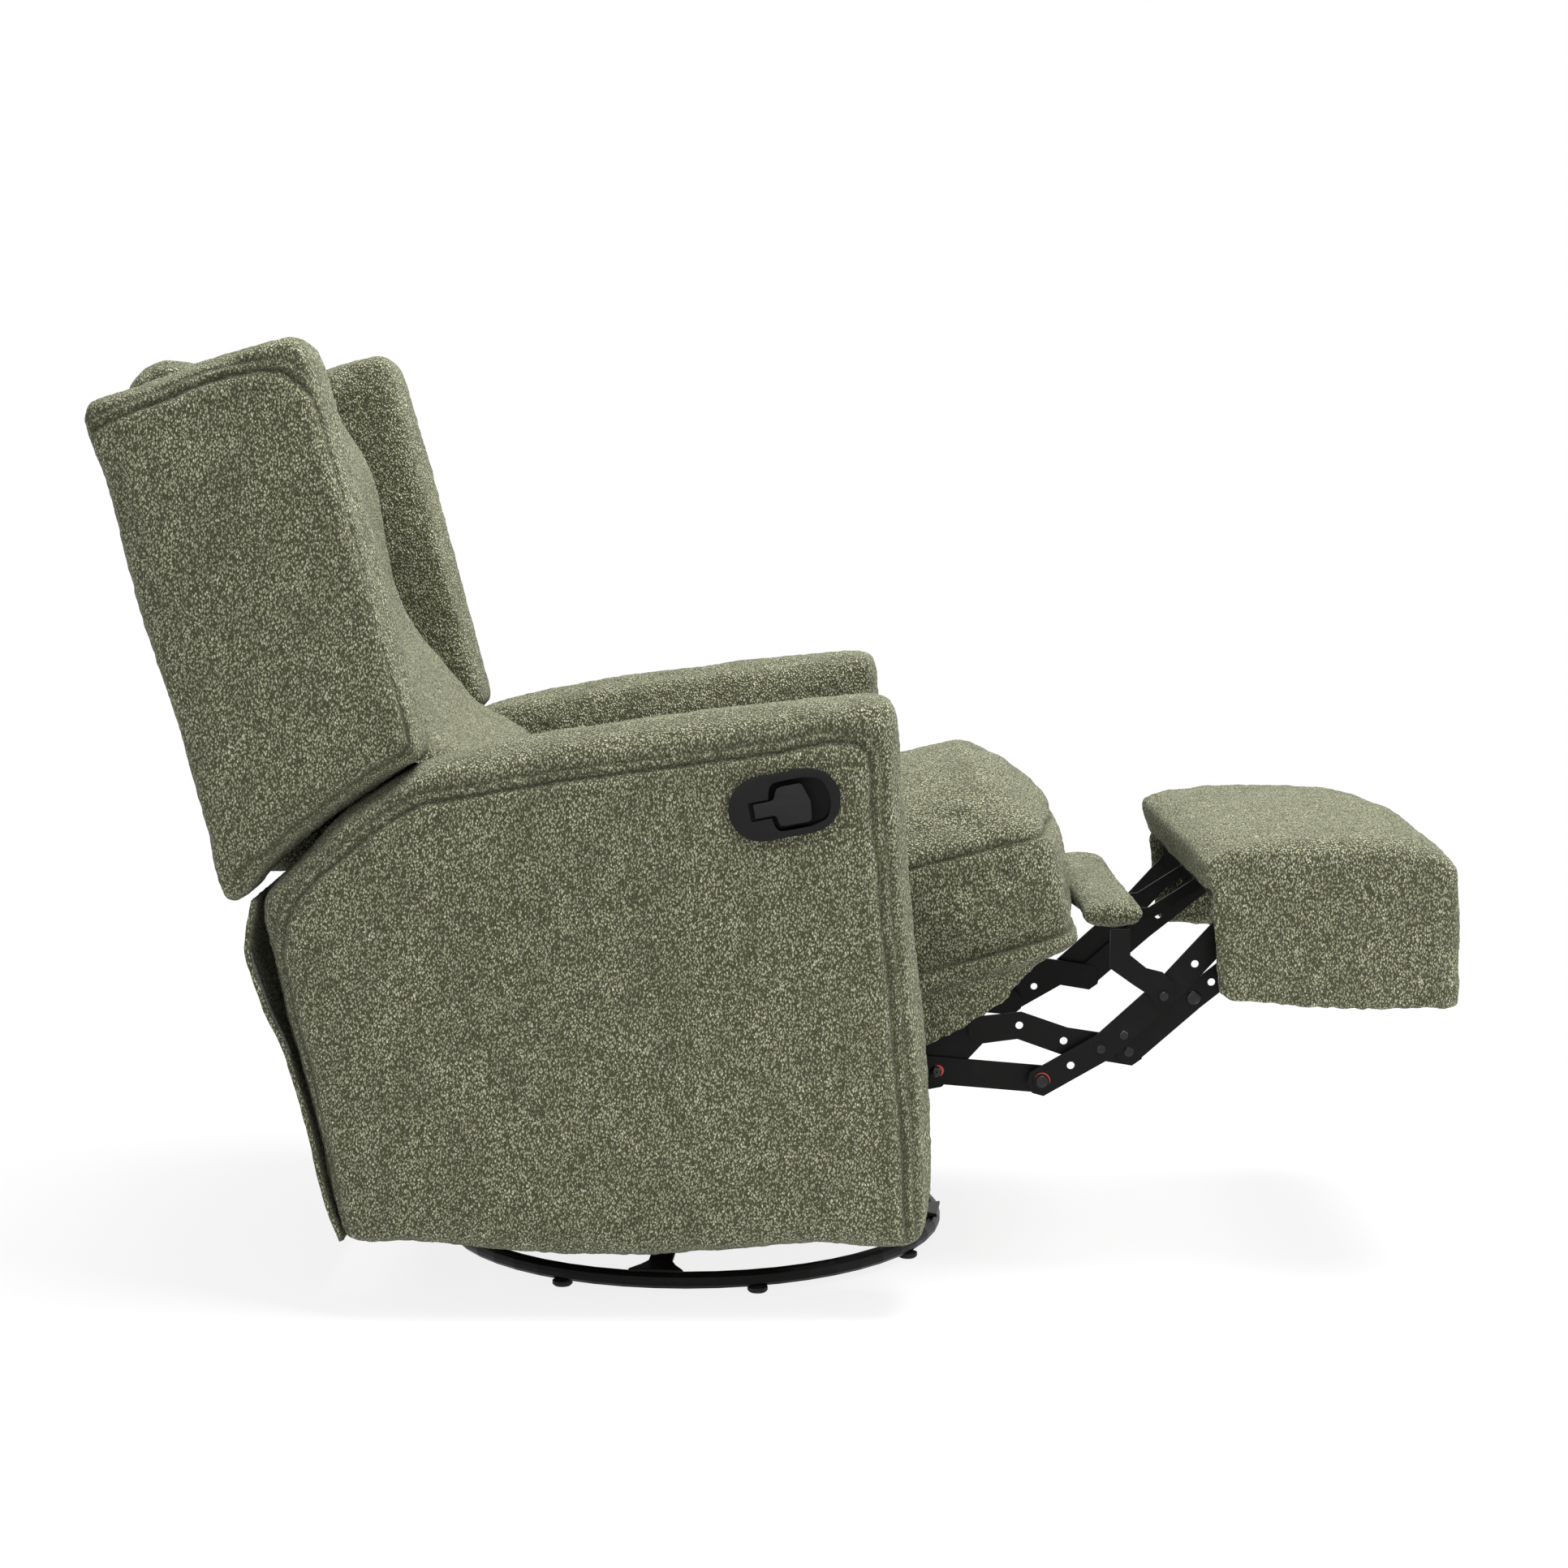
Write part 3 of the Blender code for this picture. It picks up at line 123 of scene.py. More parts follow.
wing_seam = [(-0.401, 0.588), (-0.393, 0.601), (-0.399, 0.631), (-0.413, 0.686), (-0.424, 0.735),
             (-0.437, 0.786), (-0.451, 0.838), (-0.463, 0.883), (-0.477, 0.931), (-0.485, 0.952),
             (-0.498, 0.966), (-0.514, 0.977), (-0.535, 0.978), (-0.562, 0.973), (-0.586, 0.967),
             (-0.61, 0.959), (-0.633, 0.949), (-0.659, 0.94), (-0.683, 0.929), (-0.708, 0.918)]
wing_hem = [(-0.401, 0.592), (-0.455, 0.56), (-0.495, 0.53), (-0.54, 0.493), (-0.572, 0.468)]


# Skins: reading, writing and smoothing meshes as whole arrays.
def read_points(mesh):
    """The mesh's points as an array with one row for each."""
    flat = np.empty(len(mesh.vertices) * 3, np.float32)
    mesh.vertices.foreach_get("co", flat)
    return flat.reshape(-1, 3).astype(float)


def write_points(mesh, points):
    """Put an array of points back into the mesh."""
    mesh.vertices.foreach_set("co", points.astype(np.float32).ravel())
    mesh.update()


def read_edges(mesh):
    """The mesh's edges as pairs of point numbers."""
    flat = np.empty(len(mesh.edges) * 2, np.int32)
    mesh.edges.foreach_get("vertices", flat)
    return flat.reshape(-1, 2)


def read_normals(mesh):
    """The outward direction at each point."""
    flat = np.empty(len(mesh.vertices) * 3, np.float32)
    mesh.vertex_normals.foreach_get("vector", flat)
    return flat.reshape(-1, 3).astype(float)


def store(mesh, name, values):
    """Keep one number for each point under a name that a material can read."""
    layer = mesh.attributes.get(name) or mesh.attributes.new(name, "FLOAT", "POINT")
    layer.data.foreach_set("value", np.asarray(values, np.float32))


def settled(points, edges, rounds, share=0.5):
    """Points that move a share of the way to the mean of their neighbours, the given
    number of times."""
    count = len(points)
    near = np.bincount(edges.ravel(), minlength=count).reshape(-1, 1)
    a, b = edges[:, 0], edges[:, 1]
    for _ in range(rounds):
        total = np.stack([np.bincount(a, points[b, k], count) + np.bincount(b, points[a, k], count)
                          for k in range(3)], axis=1)
        points = points + share * (total / near - points)
    return points


def evened(points, edges, rounds):
    """Points without facets at nearly full size: a step in and a slightly longer step out
    by turns."""
    step_in, step_out = 0.6, -0.62
    for _ in range(rounds):
        points = settled(settled(points, edges, 1, step_in), edges, 1, step_out)
    return points


def ramp(value, low, high):
    """0 below low, 1 above high, and a soft S between them."""
    t = np.clip((value - low) / (high - low), 0.0, 1.0)
    return t * t * (3 - 2 * t)


def hashed(cells, seed):
    """A number from 0 to 1 for each whole-numbered cell: the fraction of a large sine of a
    mix of its three numbers."""
    mix = cells[..., 0] * 12.9898 + cells[..., 1] * 78.233 + cells[..., 2] * 37.719 + seed * 5.317
    value = np.sin(mix) * 43758.5453
    return value - np.floor(value)


def lumps(points, size, seed=0):
    """Soft noise from -1 to 1: hashed values at the corners of cells of the given size,
    blended across each cell by an S curve along its three axes."""
    place = points / size
    low = np.floor(place)
    t = place - low
    t = t * t * (3 - 2 * t)
    total = 0.0
    for dx in (0, 1):
        for dy in (0, 1):
            for dz in (0, 1):
                share = (np.where(dx, t[:, 0], 1 - t[:, 0]) * np.where(dy, t[:, 1], 1 - t[:, 1])
                         * np.where(dz, t[:, 2], 1 - t[:, 2]))
                total = total + share * hashed(low + np.array((dx, dy, dz)), seed)
    return total * 2 - 1


def line_distance(flat, line):
    """Distance from each point of a plane to a bent line, and the side it is on: the least
    of the distances to the line's pieces, positive to the left of the line's direction."""
    best = np.full(len(flat), 9.0)
    side = np.ones(len(flat))
    for start, end in zip(np.array(line[:-1]), np.array(line[1:])):
        along = end - start
        t = np.clip(((flat - start) @ along) / (along @ along), 0.0, 1.0)
        away = flat - start - t.reshape(-1, 1) * along
        gap = np.hypot(away[:, 0], away[:, 1])
        hand = np.sign(along[0] * (flat[:, 1] - start[1]) - along[1] * (flat[:, 0] - start[0]))
        closer = gap < best
        best = np.where(closer, gap, best)
        side = np.where(closer, hand, side)
    return best, side


def grid_mesh(name, points, close_u=False, close_v=False, caps=False):
    """A mesh from a grid of points (rows, columns, 3), closed along either way where asked,
    with its open ends capped by one face each."""
    rows, columns = points.shape[:2]
    number = np.arange(rows * columns).reshape(rows, columns)
    if close_u:
        number = np.vstack([number, number[:1]])
    if close_v:
        number = np.hstack([number, number[:, :1]])
    faces = np.stack([number[:-1, :-1], number[:-1, 1:], number[1:, 1:], number[1:, :-1]], axis=-1)
    faces = faces.reshape(-1, 4).tolist()
    if caps:
        faces.append(number[0, :columns].tolist())
        faces.append(number[-1, :columns][::-1].tolist())
    mesh = bpy.data.meshes.new(name)
    mesh.from_pydata(points.reshape(-1, 3).tolist(), [], faces)
    work = bmesh.new()
    work.from_mesh(mesh)
    bmesh.ops.recalc_face_normals(work, faces=work.faces)
    work.to_mesh(mesh)
    work.free()
    return mesh


def along(line, count):
    """Points at even steps along a bent line whose corners are cut twice, each time at a
    quarter and at three quarters of every piece."""
    line = np.array(line, float)
    for _ in range(2):
        cut = np.empty((2 * len(line) - 2, line.shape[1]))
        cut[0::2] = line[:-1] * 0.75 + line[1:] * 0.25
        cut[1::2] = line[:-1] * 0.25 + line[1:] * 0.75
        cut[0], cut[-1] = line[0], line[-1]
        line = cut
    length = np.concatenate([[0.0], np.cumsum(np.linalg.norm(np.diff(line, axis=0), axis=1))])
    even = np.linspace(0.0, length[-1], count)
    return np.stack([np.interp(even, length, line[:, k]) for k in range(line.shape[1])], axis=1)


def swept(name, path, wide, tall, sides=16):
    """A rounded bar along a path: at each point a superellipse of half width and half
    height stands across the path's level direction."""
    path = np.array(path, float)
    ahead = np.gradient(path, axis=0)
    ahead /= np.linalg.norm(ahead, axis=1).reshape(-1, 1)
    across = np.cross(ahead, (0.0, 0.0, 1.0))
    across /= np.linalg.norm(across, axis=1).reshape(-1, 1)
    turn = np.linspace(0.0, 2 * math.pi, sides, endpoint=False)
    c, s = np.cos(turn), np.sin(turn)
    flat = np.sign(c) * np.abs(c) ** 0.8 * wide
    high = np.sign(s) * np.abs(s) ** 0.8 * tall
    points = (path[:, None, :] + flat[None, :, None] * across[:, None, :]
              + high[None, :, None] * np.array((0.0, 0.0, 1.0)))
    return grid_mesh(name, points, close_v=True, caps=True)


def linked(name, data):
    """A new object for a mesh, camera or light, linked into the scene."""
    thing = bpy.data.objects.new(name, data)
    bpy.context.scene.collection.objects.link(thing)
    return thing


def new_piece(name, mesh):
    """A linked object for a mesh, smooth all over."""
    mesh.polygons.foreach_set("use_smooth", np.ones(len(mesh.polygons), bool))
    return linked(name, mesh)


def seen_mesh(piece):
    """A new mesh of the piece as its modifiers show it."""
    return bpy.data.meshes.new_from_object(piece.evaluated_get(bpy.context.evaluated_depsgraph_get()))


def finished(piece):
    """The piece with its modifiers made part of its mesh."""
    bpy.context.view_layer.update()
    mesh = seen_mesh(piece)
    piece.modifiers.clear()
    old = piece.data
    piece.data = mesh
    bpy.data.meshes.remove(old)
    mesh.polygons.foreach_set("use_smooth", np.ones(len(mesh.polygons), bool))
    return piece


def merged_copy(*names):
    """A copy of the meshes of some CAD nodes with their loose triangles joined."""
    mesh = nodes[names[0]].data.copy()
    work = bmesh.new()
    work.from_mesh(mesh)
    for name in names[1:]:
        work.from_mesh(nodes[name].data)
    bmesh.ops.remove_doubles(work, verts=work.verts, dist=1e-5)
    work.to_mesh(mesh)
    work.free()
    mesh.materials.clear()
    return mesh


def ray_reach(ray, corner):
    """How far each ray from the origin goes to the closed outline of these corners: the
    furthest of its crossings with the edges, each a ratio of two cross products."""
    ahead = np.roll(corner, -1, axis=0) - corner
    cross = ray[:, :1] * ahead[None, :, 1] - ray[:, 1:] * ahead[None, :, 0]
    cross = np.where(np.abs(cross) < 1e-12, 1e-12, cross)
    far = (corner[None, :, 0] * ahead[None, :, 1] - corner[None, :, 1] * ahead[None, :, 0]) / cross
    share = (corner[None, :, 0] * ray[:, 1:] - corner[None, :, 1] * ray[:, :1]) / cross
    hit = (far > 0) & (share >= -1e-9) & (share <= 1 + 1e-9)
    return np.where(hit, far, 0.0).max(axis=1)


def shaped(points, axes, centre, outline, inner, bins=360):
    """Bring a piece's outline onto a measured one: about the centre, each direction's
    stretch is the measured reach over the piece's own, in full at the edge and fading to
    none at the inner share of the way out."""
    flat = points[:, axes] - np.array(centre)
    angle = np.arctan2(flat[:, 1], flat[:, 0])
    reach = np.hypot(flat[:, 0], flat[:, 1])
    number = np.clip(((angle + math.pi) / (2 * math.pi) * bins).astype(int), 0, bins - 1)
    own = np.zeros(bins)
    np.maximum.at(own, number, reach)
    middle = (np.arange(bins) + 0.5) / bins * 2 * math.pi - math.pi
    ray = np.stack([np.cos(middle), np.sin(middle)], axis=1)
    aim = ray_reach(ray, np.array(outline) - np.array(centre))
    stretch = np.where((own > 0) & (aim > 0), aim / np.maximum(own, 1e-9), 1.0)
    stretch = np.clip(stretch, 0.9, 1.12)
    near = np.array([1.0, 2.0, 3.0, 4.0, 3.0, 2.0, 1.0]) if bins > 200 else np.array([1.0, 2.0, 1.0])
    side = len(near) // 2
    stretch = np.concatenate([stretch[-side:], stretch, stretch[:side]])
    stretch = np.convolve(stretch, near / near.sum(), "valid")
    round_trip = np.concatenate([middle - 2 * math.pi, middle, middle + 2 * math.pi])
    full = np.interp(angle, round_trip, np.tile(stretch, 3))
    edge = np.interp(angle, round_trip, np.tile(np.maximum(own, 1e-9), 3))
    weight = ramp(reach / edge, inner, 0.96) if inner > 0 else 1.0
    moved = points.copy()
    moved[:, axes] = np.array(centre) + flat * (1 + (full - 1) * weight).reshape(-1, 1)
    return moved


def reach_at(height, reach, low, step, count, take):
    """The furthest reach in each slice of height, eased over its neighbours by a running
    mean that counts the middle one twice, as the two arrays that np.interp takes."""
    number = np.clip(((height - low) / step).astype(int), 0, count - 1)
    own = np.full(count, np.nan)
    for k in range(count):
        here = reach[number == k]
        if len(here):
            own[k] = take(here)
    middle = low + (np.arange(count) + 0.5) * step
    known = ~np.isnan(own)
    own = np.interp(middle, middle[known], own[known])
    own = np.concatenate([own[:1], own, own[-1:]])
    return middle, np.convolve(own, np.array([1.0, 2.0, 1.0]) / 4, "valid")


def skin(name, names, grain, rounds=10, soft=2, extra=None):
    """The even skin of some CAD nodes: their merged copy, with an extra closed mesh where
    one is given, wrapped again in squares of the given size, then smoothed so that its
    flats run into each other."""
    mesh = merged_copy(*names)
    if extra is not None:
        both = bmesh.new()
        both.from_mesh(mesh)
        both.from_mesh(extra)
        both.to_mesh(mesh)
        both.free()
    piece = new_piece(name, mesh)
    wrap = piece.modifiers.new("wrap", "REMESH")
    wrap.mode = "VOXEL"
    wrap.voxel_size = grain
    wrap.adaptivity = 0.0
    finished(piece)
    mesh = piece.data
    kept = ("position", ".edge_verts", ".corner_vert", ".corner_edge")
    for layer in list(mesh.attributes):
        if layer.name not in kept and not layer.is_required:
            mesh.attributes.remove(layer)
    edges = read_edges(mesh)
    write_points(mesh, settled(evened(read_points(mesh), edges, rounds), edges, soft))
    return piece


def finer(piece):
    """One level of subdivision, made part of the mesh."""
    step = piece.modifiers.new("finer", "SUBSURF")
    step.levels = 1
    step.render_levels = 1
    return finished(piece)


def blown(piece, pressure, cap, held=None):
    """Swell a skin as a stuffed cushion: cloth under pressure with no gravity for some
    frames, then each point keeps its way but moves no further than the cap.  held marks
    points that stay, from 0 to 1."""
    frames = 20
    scene = bpy.context.scene
    start = read_points(piece.data)
    cloth = piece.modifiers.new("stuffing", "CLOTH")
    how = cloth.settings
    how.quality = 4
    how.mass = 0.3
    how.tension_stiffness = how.compression_stiffness = 12.0
    how.shear_stiffness = 4.0
    how.bending_stiffness = 0.6
    how.air_damping = 2.0
    how.use_pressure = True
    how.uniform_pressure_force = pressure
    how.effector_weights.gravity = 0.0
    cloth.collision_settings.use_collision = False
    cloth.collision_settings.use_self_collision = False
    if held is not None:
        group = piece.vertex_groups.new(name="held")
        for weight in (1.0, 0.5):
            marked = np.nonzero(np.abs(held - weight) < 0.26)[0].tolist()
            group.add(marked, weight, "REPLACE")
        how.vertex_group_mass = "held"
    cloth.point_cache.frame_start = 1
    cloth.point_cache.frame_end = frames
    for number in range(1, frames + 1):
        scene.frame_set(number)
    mesh = seen_mesh(piece)
    moved = read_points(mesh) - start
    bpy.data.meshes.remove(mesh)
    piece.modifiers.clear()
    piece.vertex_groups.clear()
    length = np.linalg.norm(moved, axis=1).reshape(-1, 1)
    moved = moved * np.minimum(1.0, cap / np.maximum(length, 1e-9))
    edges = read_edges(piece.data)
    write_points(piece.data, start + settled(moved, edges, 4))
    scene.frame_set(1)
    return piece


def relief(piece, seams=()):
    """Push the skin in and out along its normals: seams are (array of moves, array of
    painted shade) pairs, and two sizes of knots and two of dents come from soft noise.  The
    painted shade of the seam grooves is kept in the seam attribute, for the cloth to darken."""
    mesh = piece.data
    points, normals = read_points(mesh), read_normals(mesh)
    move = np.zeros(len(points))
    # darkness here is painted shade along the seam grooves
    dark = np.zeros(len(points))
    for shift, shade in seams:
        move += shift
        dark = np.maximum(dark, shade)
    move += knot_height * lumps(points, big_knot, 3) + knot_height * 0.8 * lumps(points, small_knot, 8)
    move += dent_depth * lumps(points, wide_dent, 5) + dent_depth * 0.5 * lumps(points, small_dent, 6)
    write_points(mesh, points + normals * move.reshape(-1, 1))
    # the seam attribute carries the painted shade of the seam grooves
    store(mesh, "seam", dark)
    return piece


def felled(points, normals, line, hand, apart=0.011, depth=0.0034, puff=0.0022):
    """A flat-felled seam on the face that looks along Y times hand: a groove along the
    line, a second one apart from it on the right, a low band between them and soft puffs
    beyond.  Each groove is a bell curve of the distance to it.  Besides the moves it gives
    painted shade in the two grooves."""
    face = ramp(normals[:, 1] * hand, 0.45, 0.8)
    sway = np.stack([lumps(points, 0.03, 11), lumps(points, 0.03, 12)], axis=1)
    away, side = line_distance(points[:, (0, 2)] + 0.001 * sway, line)
    signed = away * side
    groove, band, swell, band_height = 0.0028, 0.0032, 0.009, 0.0006
    inner = np.exp(-(signed / groove) ** 2)
    outer = np.exp(-((signed + apart) / groove) ** 2)
    middle = np.exp(-((signed + apart / 2) / band) ** 2)
    within = np.exp(-((signed - 0.013) / swell) ** 2)
    beyond = np.exp(-((signed + apart + 0.012) / swell) ** 2)
    raised = puff * within + puff * 0.7 * beyond + band_height * middle
    move = face * (raised - depth * inner - depth * 0.6 * outer)
    # the second array is painted shade, darker along the two grooves
    return move, face * np.maximum(inner, outer * 0.7)


def above(points, plane):
    """Height of each point above a plane that slopes along X."""
    height, slope, start = plane
    return points[:, 2] - (height + slope * (points[:, 0] - start))


def crease(points, normals, height, face, depth=0.0035, width=0.003, puff=0.003, swell=0.016):
    """A seam where the skin crosses a sloping plane: height is each point's distance above
    the plane; a bell curve pulls it in there and wider bells above and below push it out.  The
    pull also gives painted shade in the groove."""
    pull = np.exp(-(height / width) ** 2)
    push = np.exp(-((np.abs(height) - swell) / (swell * 0.6)) ** 2)
    # the second array is painted shade where the groove pulls in
    return face * (-depth * pull + puff * push), face * pull


# Finishes.
def group_of(name, inputs, outputs):
    """An empty shader group with its sockets."""
    group = bpy.data.node_groups.new(name, "ShaderNodeTree")
    for label, kind, value in inputs:
        socket = group.interface.new_socket(label, in_out="INPUT", socket_type=kind)
        if value is not None:
            socket.default_value = value
    for label, kind in outputs:
        group.interface.new_socket(label, in_out="OUTPUT", socket_type=kind)
    return group, group.nodes.new("NodeGroupInput"), group.nodes.new("NodeGroupOutput")


def feed(tree, node, values):
    """Feed a node's inputs, by label or number, from sockets, numbers or colours."""
    for label, value in values.items():
        if isinstance(value, bpy.types.NodeSocket):
            tree.links.new(value, node.inputs[label])
        elif value is not None:
            node.inputs[label].default_value = value
    return node


def put(tree, kind, values=None, **settings):
    """A new node with its settings and its inputs."""
    node = tree.nodes.new(kind)
    for key, value in settings.items():
        setattr(node, key, value)
    return feed(tree, node, values or {})


def sums(tree, operation, first, second=None, third=None, clamp=False):
    """The output of a math node on sockets or plain numbers."""
    return put(tree, "ShaderNodeMath", {0: first, 1: second, 2: third}, operation=operation,
               use_clamp=clamp).outputs[0]


def span(tree, value, low, high, to_low=0.0, to_high=1.0):
    """Map a value from one span to another with a soft S."""
    ends = {"Value": value, "From Min": low, "From Max": high, "To Min": to_low, "To Max": to_high}
    return put(tree, "ShaderNodeMapRange", ends, interpolation_type="SMOOTHSTEP").outputs["Result"]


def blend_colours(tree, share, first, second):
    """A mix of two colours, each a socket or a plain colour."""
    return put(tree, "ShaderNodeMix", {0: share, 6: first, 7: second}, data_type="RGBA").outputs[2]


def noise(tree, place, scale, detail=2.0, rough=0.5):
    """A noise texture on a place socket."""
    return put(tree, "ShaderNodeTexNoise",
               {"Vector": place, "Scale": scale, "Detail": detail, "Roughness": rough})


def cells(tree, place, scale, chance=1.0):
    """A cell texture on a place socket."""
    return put(tree, "ShaderNodeTexVoronoi", {"Vector": place, "Scale": scale, "Randomness": chance})


def new_finish(name):
    """A new material with its node tree, its shader and the place on the object."""
    look = bpy.data.materials.new(name)
    look.use_nodes = True
    tree = look.node_tree
    return look, tree, tree.nodes["Principled BSDF"], put(tree, "ShaderNodeTexCoord").outputs["Object"]


def looped_cloth_group():
    """Looped wool-like cloth: rows of yarn loops with dark gaps, some pale slubs, and a
    fine frizz.  Along the seam grooves it darkens towards the gap colour as painted shade.
    Gives colour, height and roughness."""
    tree, inputs, outputs = group_of(
        "looped_cloth",
        [("Place", "NodeSocketVector", None), ("Loops", "NodeSocketFloat", 235.0),
         ("Gap", "NodeSocketColor", None), ("Yarn", "NodeSocketColor", None),
         ("Pale", "NodeSocketColor", None), ("Slubs", "NodeSocketFloat", 1.0),
         ("Seam", "NodeSocketFloat", 0.0)],
        [("Color", "NodeSocketColor"), ("Height", "NodeSocketFloat"), ("Roughness", "NodeSocketFloat")])
    given = inputs.outputs
    place = given["Place"]
    wander = noise(tree, place, 95.0)
    off = put(tree, "ShaderNodeVectorMath", {0: wander.outputs["Color"], 1: (0.5, 0.5, 0.5)},
              operation="SUBTRACT")
    bent = put(tree, "ShaderNodeVectorMath", {0: off.outputs[0], 1: (0.0042, 0.0042, 0.0042), 2: place},
               operation="MULTIPLY_ADD").outputs[0]
    loop = cells(tree, bent, given["Loops"], 0.85)
    small = cells(tree, bent, 860.0)
    slub = cells(tree, bent, 52.0)
    frizz = noise(tree, place, 900.0, 3.0, 0.65)
    slow = noise(tree, place, 14.0)
    broad = noise(tree, place, 34.0, 3.0, 0.6)
    body = span(tree, loop.outputs["Distance"], 0.12, 0.62, 1.0, 0.0)
    knot = span(tree, small.outputs["Distance"], 0.1, 0.6, 1.0, 0.0)
    height = sums(tree, "MULTIPLY_ADD", body, 0.72, sums(tree, "MULTIPLY", knot, 0.28))
    fuzz = sums(tree, "SUBTRACT", frizz.outputs["Fac"], 0.5)
    height = sums(tree, "MULTIPLY_ADD", fuzz, 0.5, height)
    lot = put(tree, "ShaderNodeSeparateColor", {0: loop.outputs["Color"]})
    chance = sums(tree, "MULTIPLY_ADD", slow.outputs["Fac"], 0.24, lot.outputs[0])
    raised = span(tree, height, 0.3, 0.9)
    paler = sums(tree, "MULTIPLY", span(tree, chance, 0.74, 1.16), raised, clamp=True)
    thick = span(tree, slub.outputs["Distance"], 0.1, 0.24, 1.0, 0.0)
    thick = sums(tree, "MULTIPLY", sums(tree, "MULTIPLY", thick, given["Slubs"]), body)
    shade = span(tree, broad.outputs["Fac"], 0.32, 0.72, 0.0, 0.34)
    colour = blend_colours(tree, span(tree, height, 0.02, 0.58), given["Gap"], given["Yarn"])
    # The last share is painted shade: darker towards the gap colour along the seam grooves.
    for share, tone in ((sums(tree, "MULTIPLY", paler, 0.8), "Pale"),
                        (sums(tree, "MULTIPLY", thick, 0.75, clamp=True), "Pale"), (shade, "Gap"),
                        (sums(tree, "MULTIPLY", given["Seam"], 0.85, clamp=True), "Gap")):
        colour = blend_colours(tree, share, colour, given[tone])
    feed(tree, outputs, {"Color": colour, "Height": sums(tree, "MULTIPLY_ADD", thick, 0.5, height),
                         "Roughness": span(tree, height, 0.0, 1.0, 0.98, 0.86)})
    return tree


def cloth(name, gap, yarn, pale, loops, slubs=1.0, bump=0.95, sheen=0.2):
    """A looped cloth finish in three tones, with its rows turned and drawn out."""
    look, tree, shader, place = new_finish(name)
    rows = put(tree, "ShaderNodeMapping",
               {"Vector": place, "Rotation": (0.1, 0.66, 0.15), "Scale": (1.0, 1.0, 0.62)})
    # The seam attribute holds painted shade along the seam grooves.
    seam = put(tree, "ShaderNodeAttribute", attribute_name="seam")
    tones = {"Gap": gap + (1.0,), "Yarn": yarn + (1.0,), "Pale": pale + (1.0,)}
    weave = put(tree, "ShaderNodeGroup", tones, node_tree=looped_cloth)
    feed(tree, weave, {"Place": rows.outputs[0], "Loops": loops, "Slubs": slubs,
                       "Seam": seam.outputs["Fac"]})
    lift = put(tree, "ShaderNodeBump",
               {"Strength": bump, "Distance": 0.003, "Height": weave.outputs["Height"]})
    feed(tree, shader, {"Base Color": weave.outputs["Color"], "Roughness": weave.outputs["Roughness"],
                        "Normal": lift.outputs[0], "Specular IOR Level": 0.12, "Sheen Weight": sheen,
                        "Sheen Roughness": 0.45, "Sheen Tint": (0.8, 0.84, 0.66, 1.0)})
    return look


def worn_coat_group():
    """Thin coat on metal: an orange-peel skin with fine dust and faint rubbed patches.
    Gives colour, roughness and height."""
    tree, inputs, outputs = group_of(
        "worn_coat",
        [("Place", "NodeSocketVector", None), ("Coat", "NodeSocketColor", None),
         ("Rubbed", "NodeSocketColor", None), ("Wear", "NodeSocketFloat", 0.3),
         ("Rough", "NodeSocketFloat", 0.4), ("Peel", "NodeSocketFloat", 900.0)],
        [("Color", "NodeSocketColor"), ("Roughness", "NodeSocketFloat"), ("Height", "NodeSocketFloat")])
    given = inputs.outputs
    peel = noise(tree, given["Place"], given["Peel"], 2.0, 0.6).outputs["Fac"]
    patch = noise(tree, given["Place"], 38.0, 5.0, 0.62).outputs["Fac"]
    speck = cells(tree, given["Place"], 320.0).outputs["Distance"]
    rub = sums(tree, "MULTIPLY", span(tree, patch, 0.5, 0.78), given["Wear"], clamp=True)
    dust = sums(tree, "MULTIPLY", span(tree, speck, 0.03, 0.1, 1.0, 0.0), 0.25)
    colour = blend_colours(tree, rub, given["Coat"], given["Rubbed"])
    rough = sums(tree, "MULTIPLY_ADD", patch, 0.22, given["Rough"])
    feed(tree, outputs, {"Color": blend_colours(tree, dust, colour, given["Rubbed"]),
                         "Roughness": sums(tree, "SUBTRACT", rough, 0.11, clamp=True),
                         "Height": sums(tree, "MULTIPLY_ADD", patch, 0.3, peel)})
    return tree


def coated(name, coat, rubbed, wear, rough, peel, bump, metallic=0.0, specular=0.3):
    """A coated or moulded finish on the worn coat group."""
    look, tree, shader, place = new_finish(name)
    skin_of = put(tree, "ShaderNodeGroup", {"Coat": coat + (1.0,), "Rubbed": rubbed + (1.0,)},
                  node_tree=worn_coat)
    feed(tree, skin_of, {"Place": place, "Wear": wear, "Rough": rough, "Peel": peel})
    lift = put(tree, "ShaderNodeBump",
               {"Strength": bump, "Distance": 0.0004, "Height": skin_of.outputs["Height"]})
    feed(tree, shader, {"Base Color": skin_of.outputs["Color"], "Roughness": skin_of.outputs["Roughness"],
                        "Normal": lift.outputs[0], "Metallic": metallic, "Specular IOR Level": specular})
    return look


def plywood(name):
    """Plain plywood: long streaks of grain along X over pale wood."""
    look, tree, shader, place = new_finish(name)
    drawn = put(tree, "ShaderNodeMapping", {"Vector": place, "Scale": (3.0, 55.0, 55.0)}).outputs[0]
    grain = noise(tree, drawn, 3.0, 6.0, 0.6).outputs["Fac"]
    fine = noise(tree, drawn, 18.0, 3.0, 0.6).outputs["Fac"]
    share = sums(tree, "MULTIPLY_ADD", fine, 0.35, sums(tree, "MULTIPLY", grain, 0.75))
    colour = blend_colours(tree, span(tree, share, 0.35, 0.75), (0.48, 0.33, 0.19, 1.0),
                           (0.25, 0.15, 0.075, 1.0))
    lift = put(tree, "ShaderNodeBump", {"Strength": 0.3, "Distance": 0.0005, "Height": share})
    feed(tree, shader, {"Base Color": colour, "Roughness": span(tree, share, 0.3, 0.8, 0.62, 0.82),
                        "Normal": lift.outputs[0]})
    return look


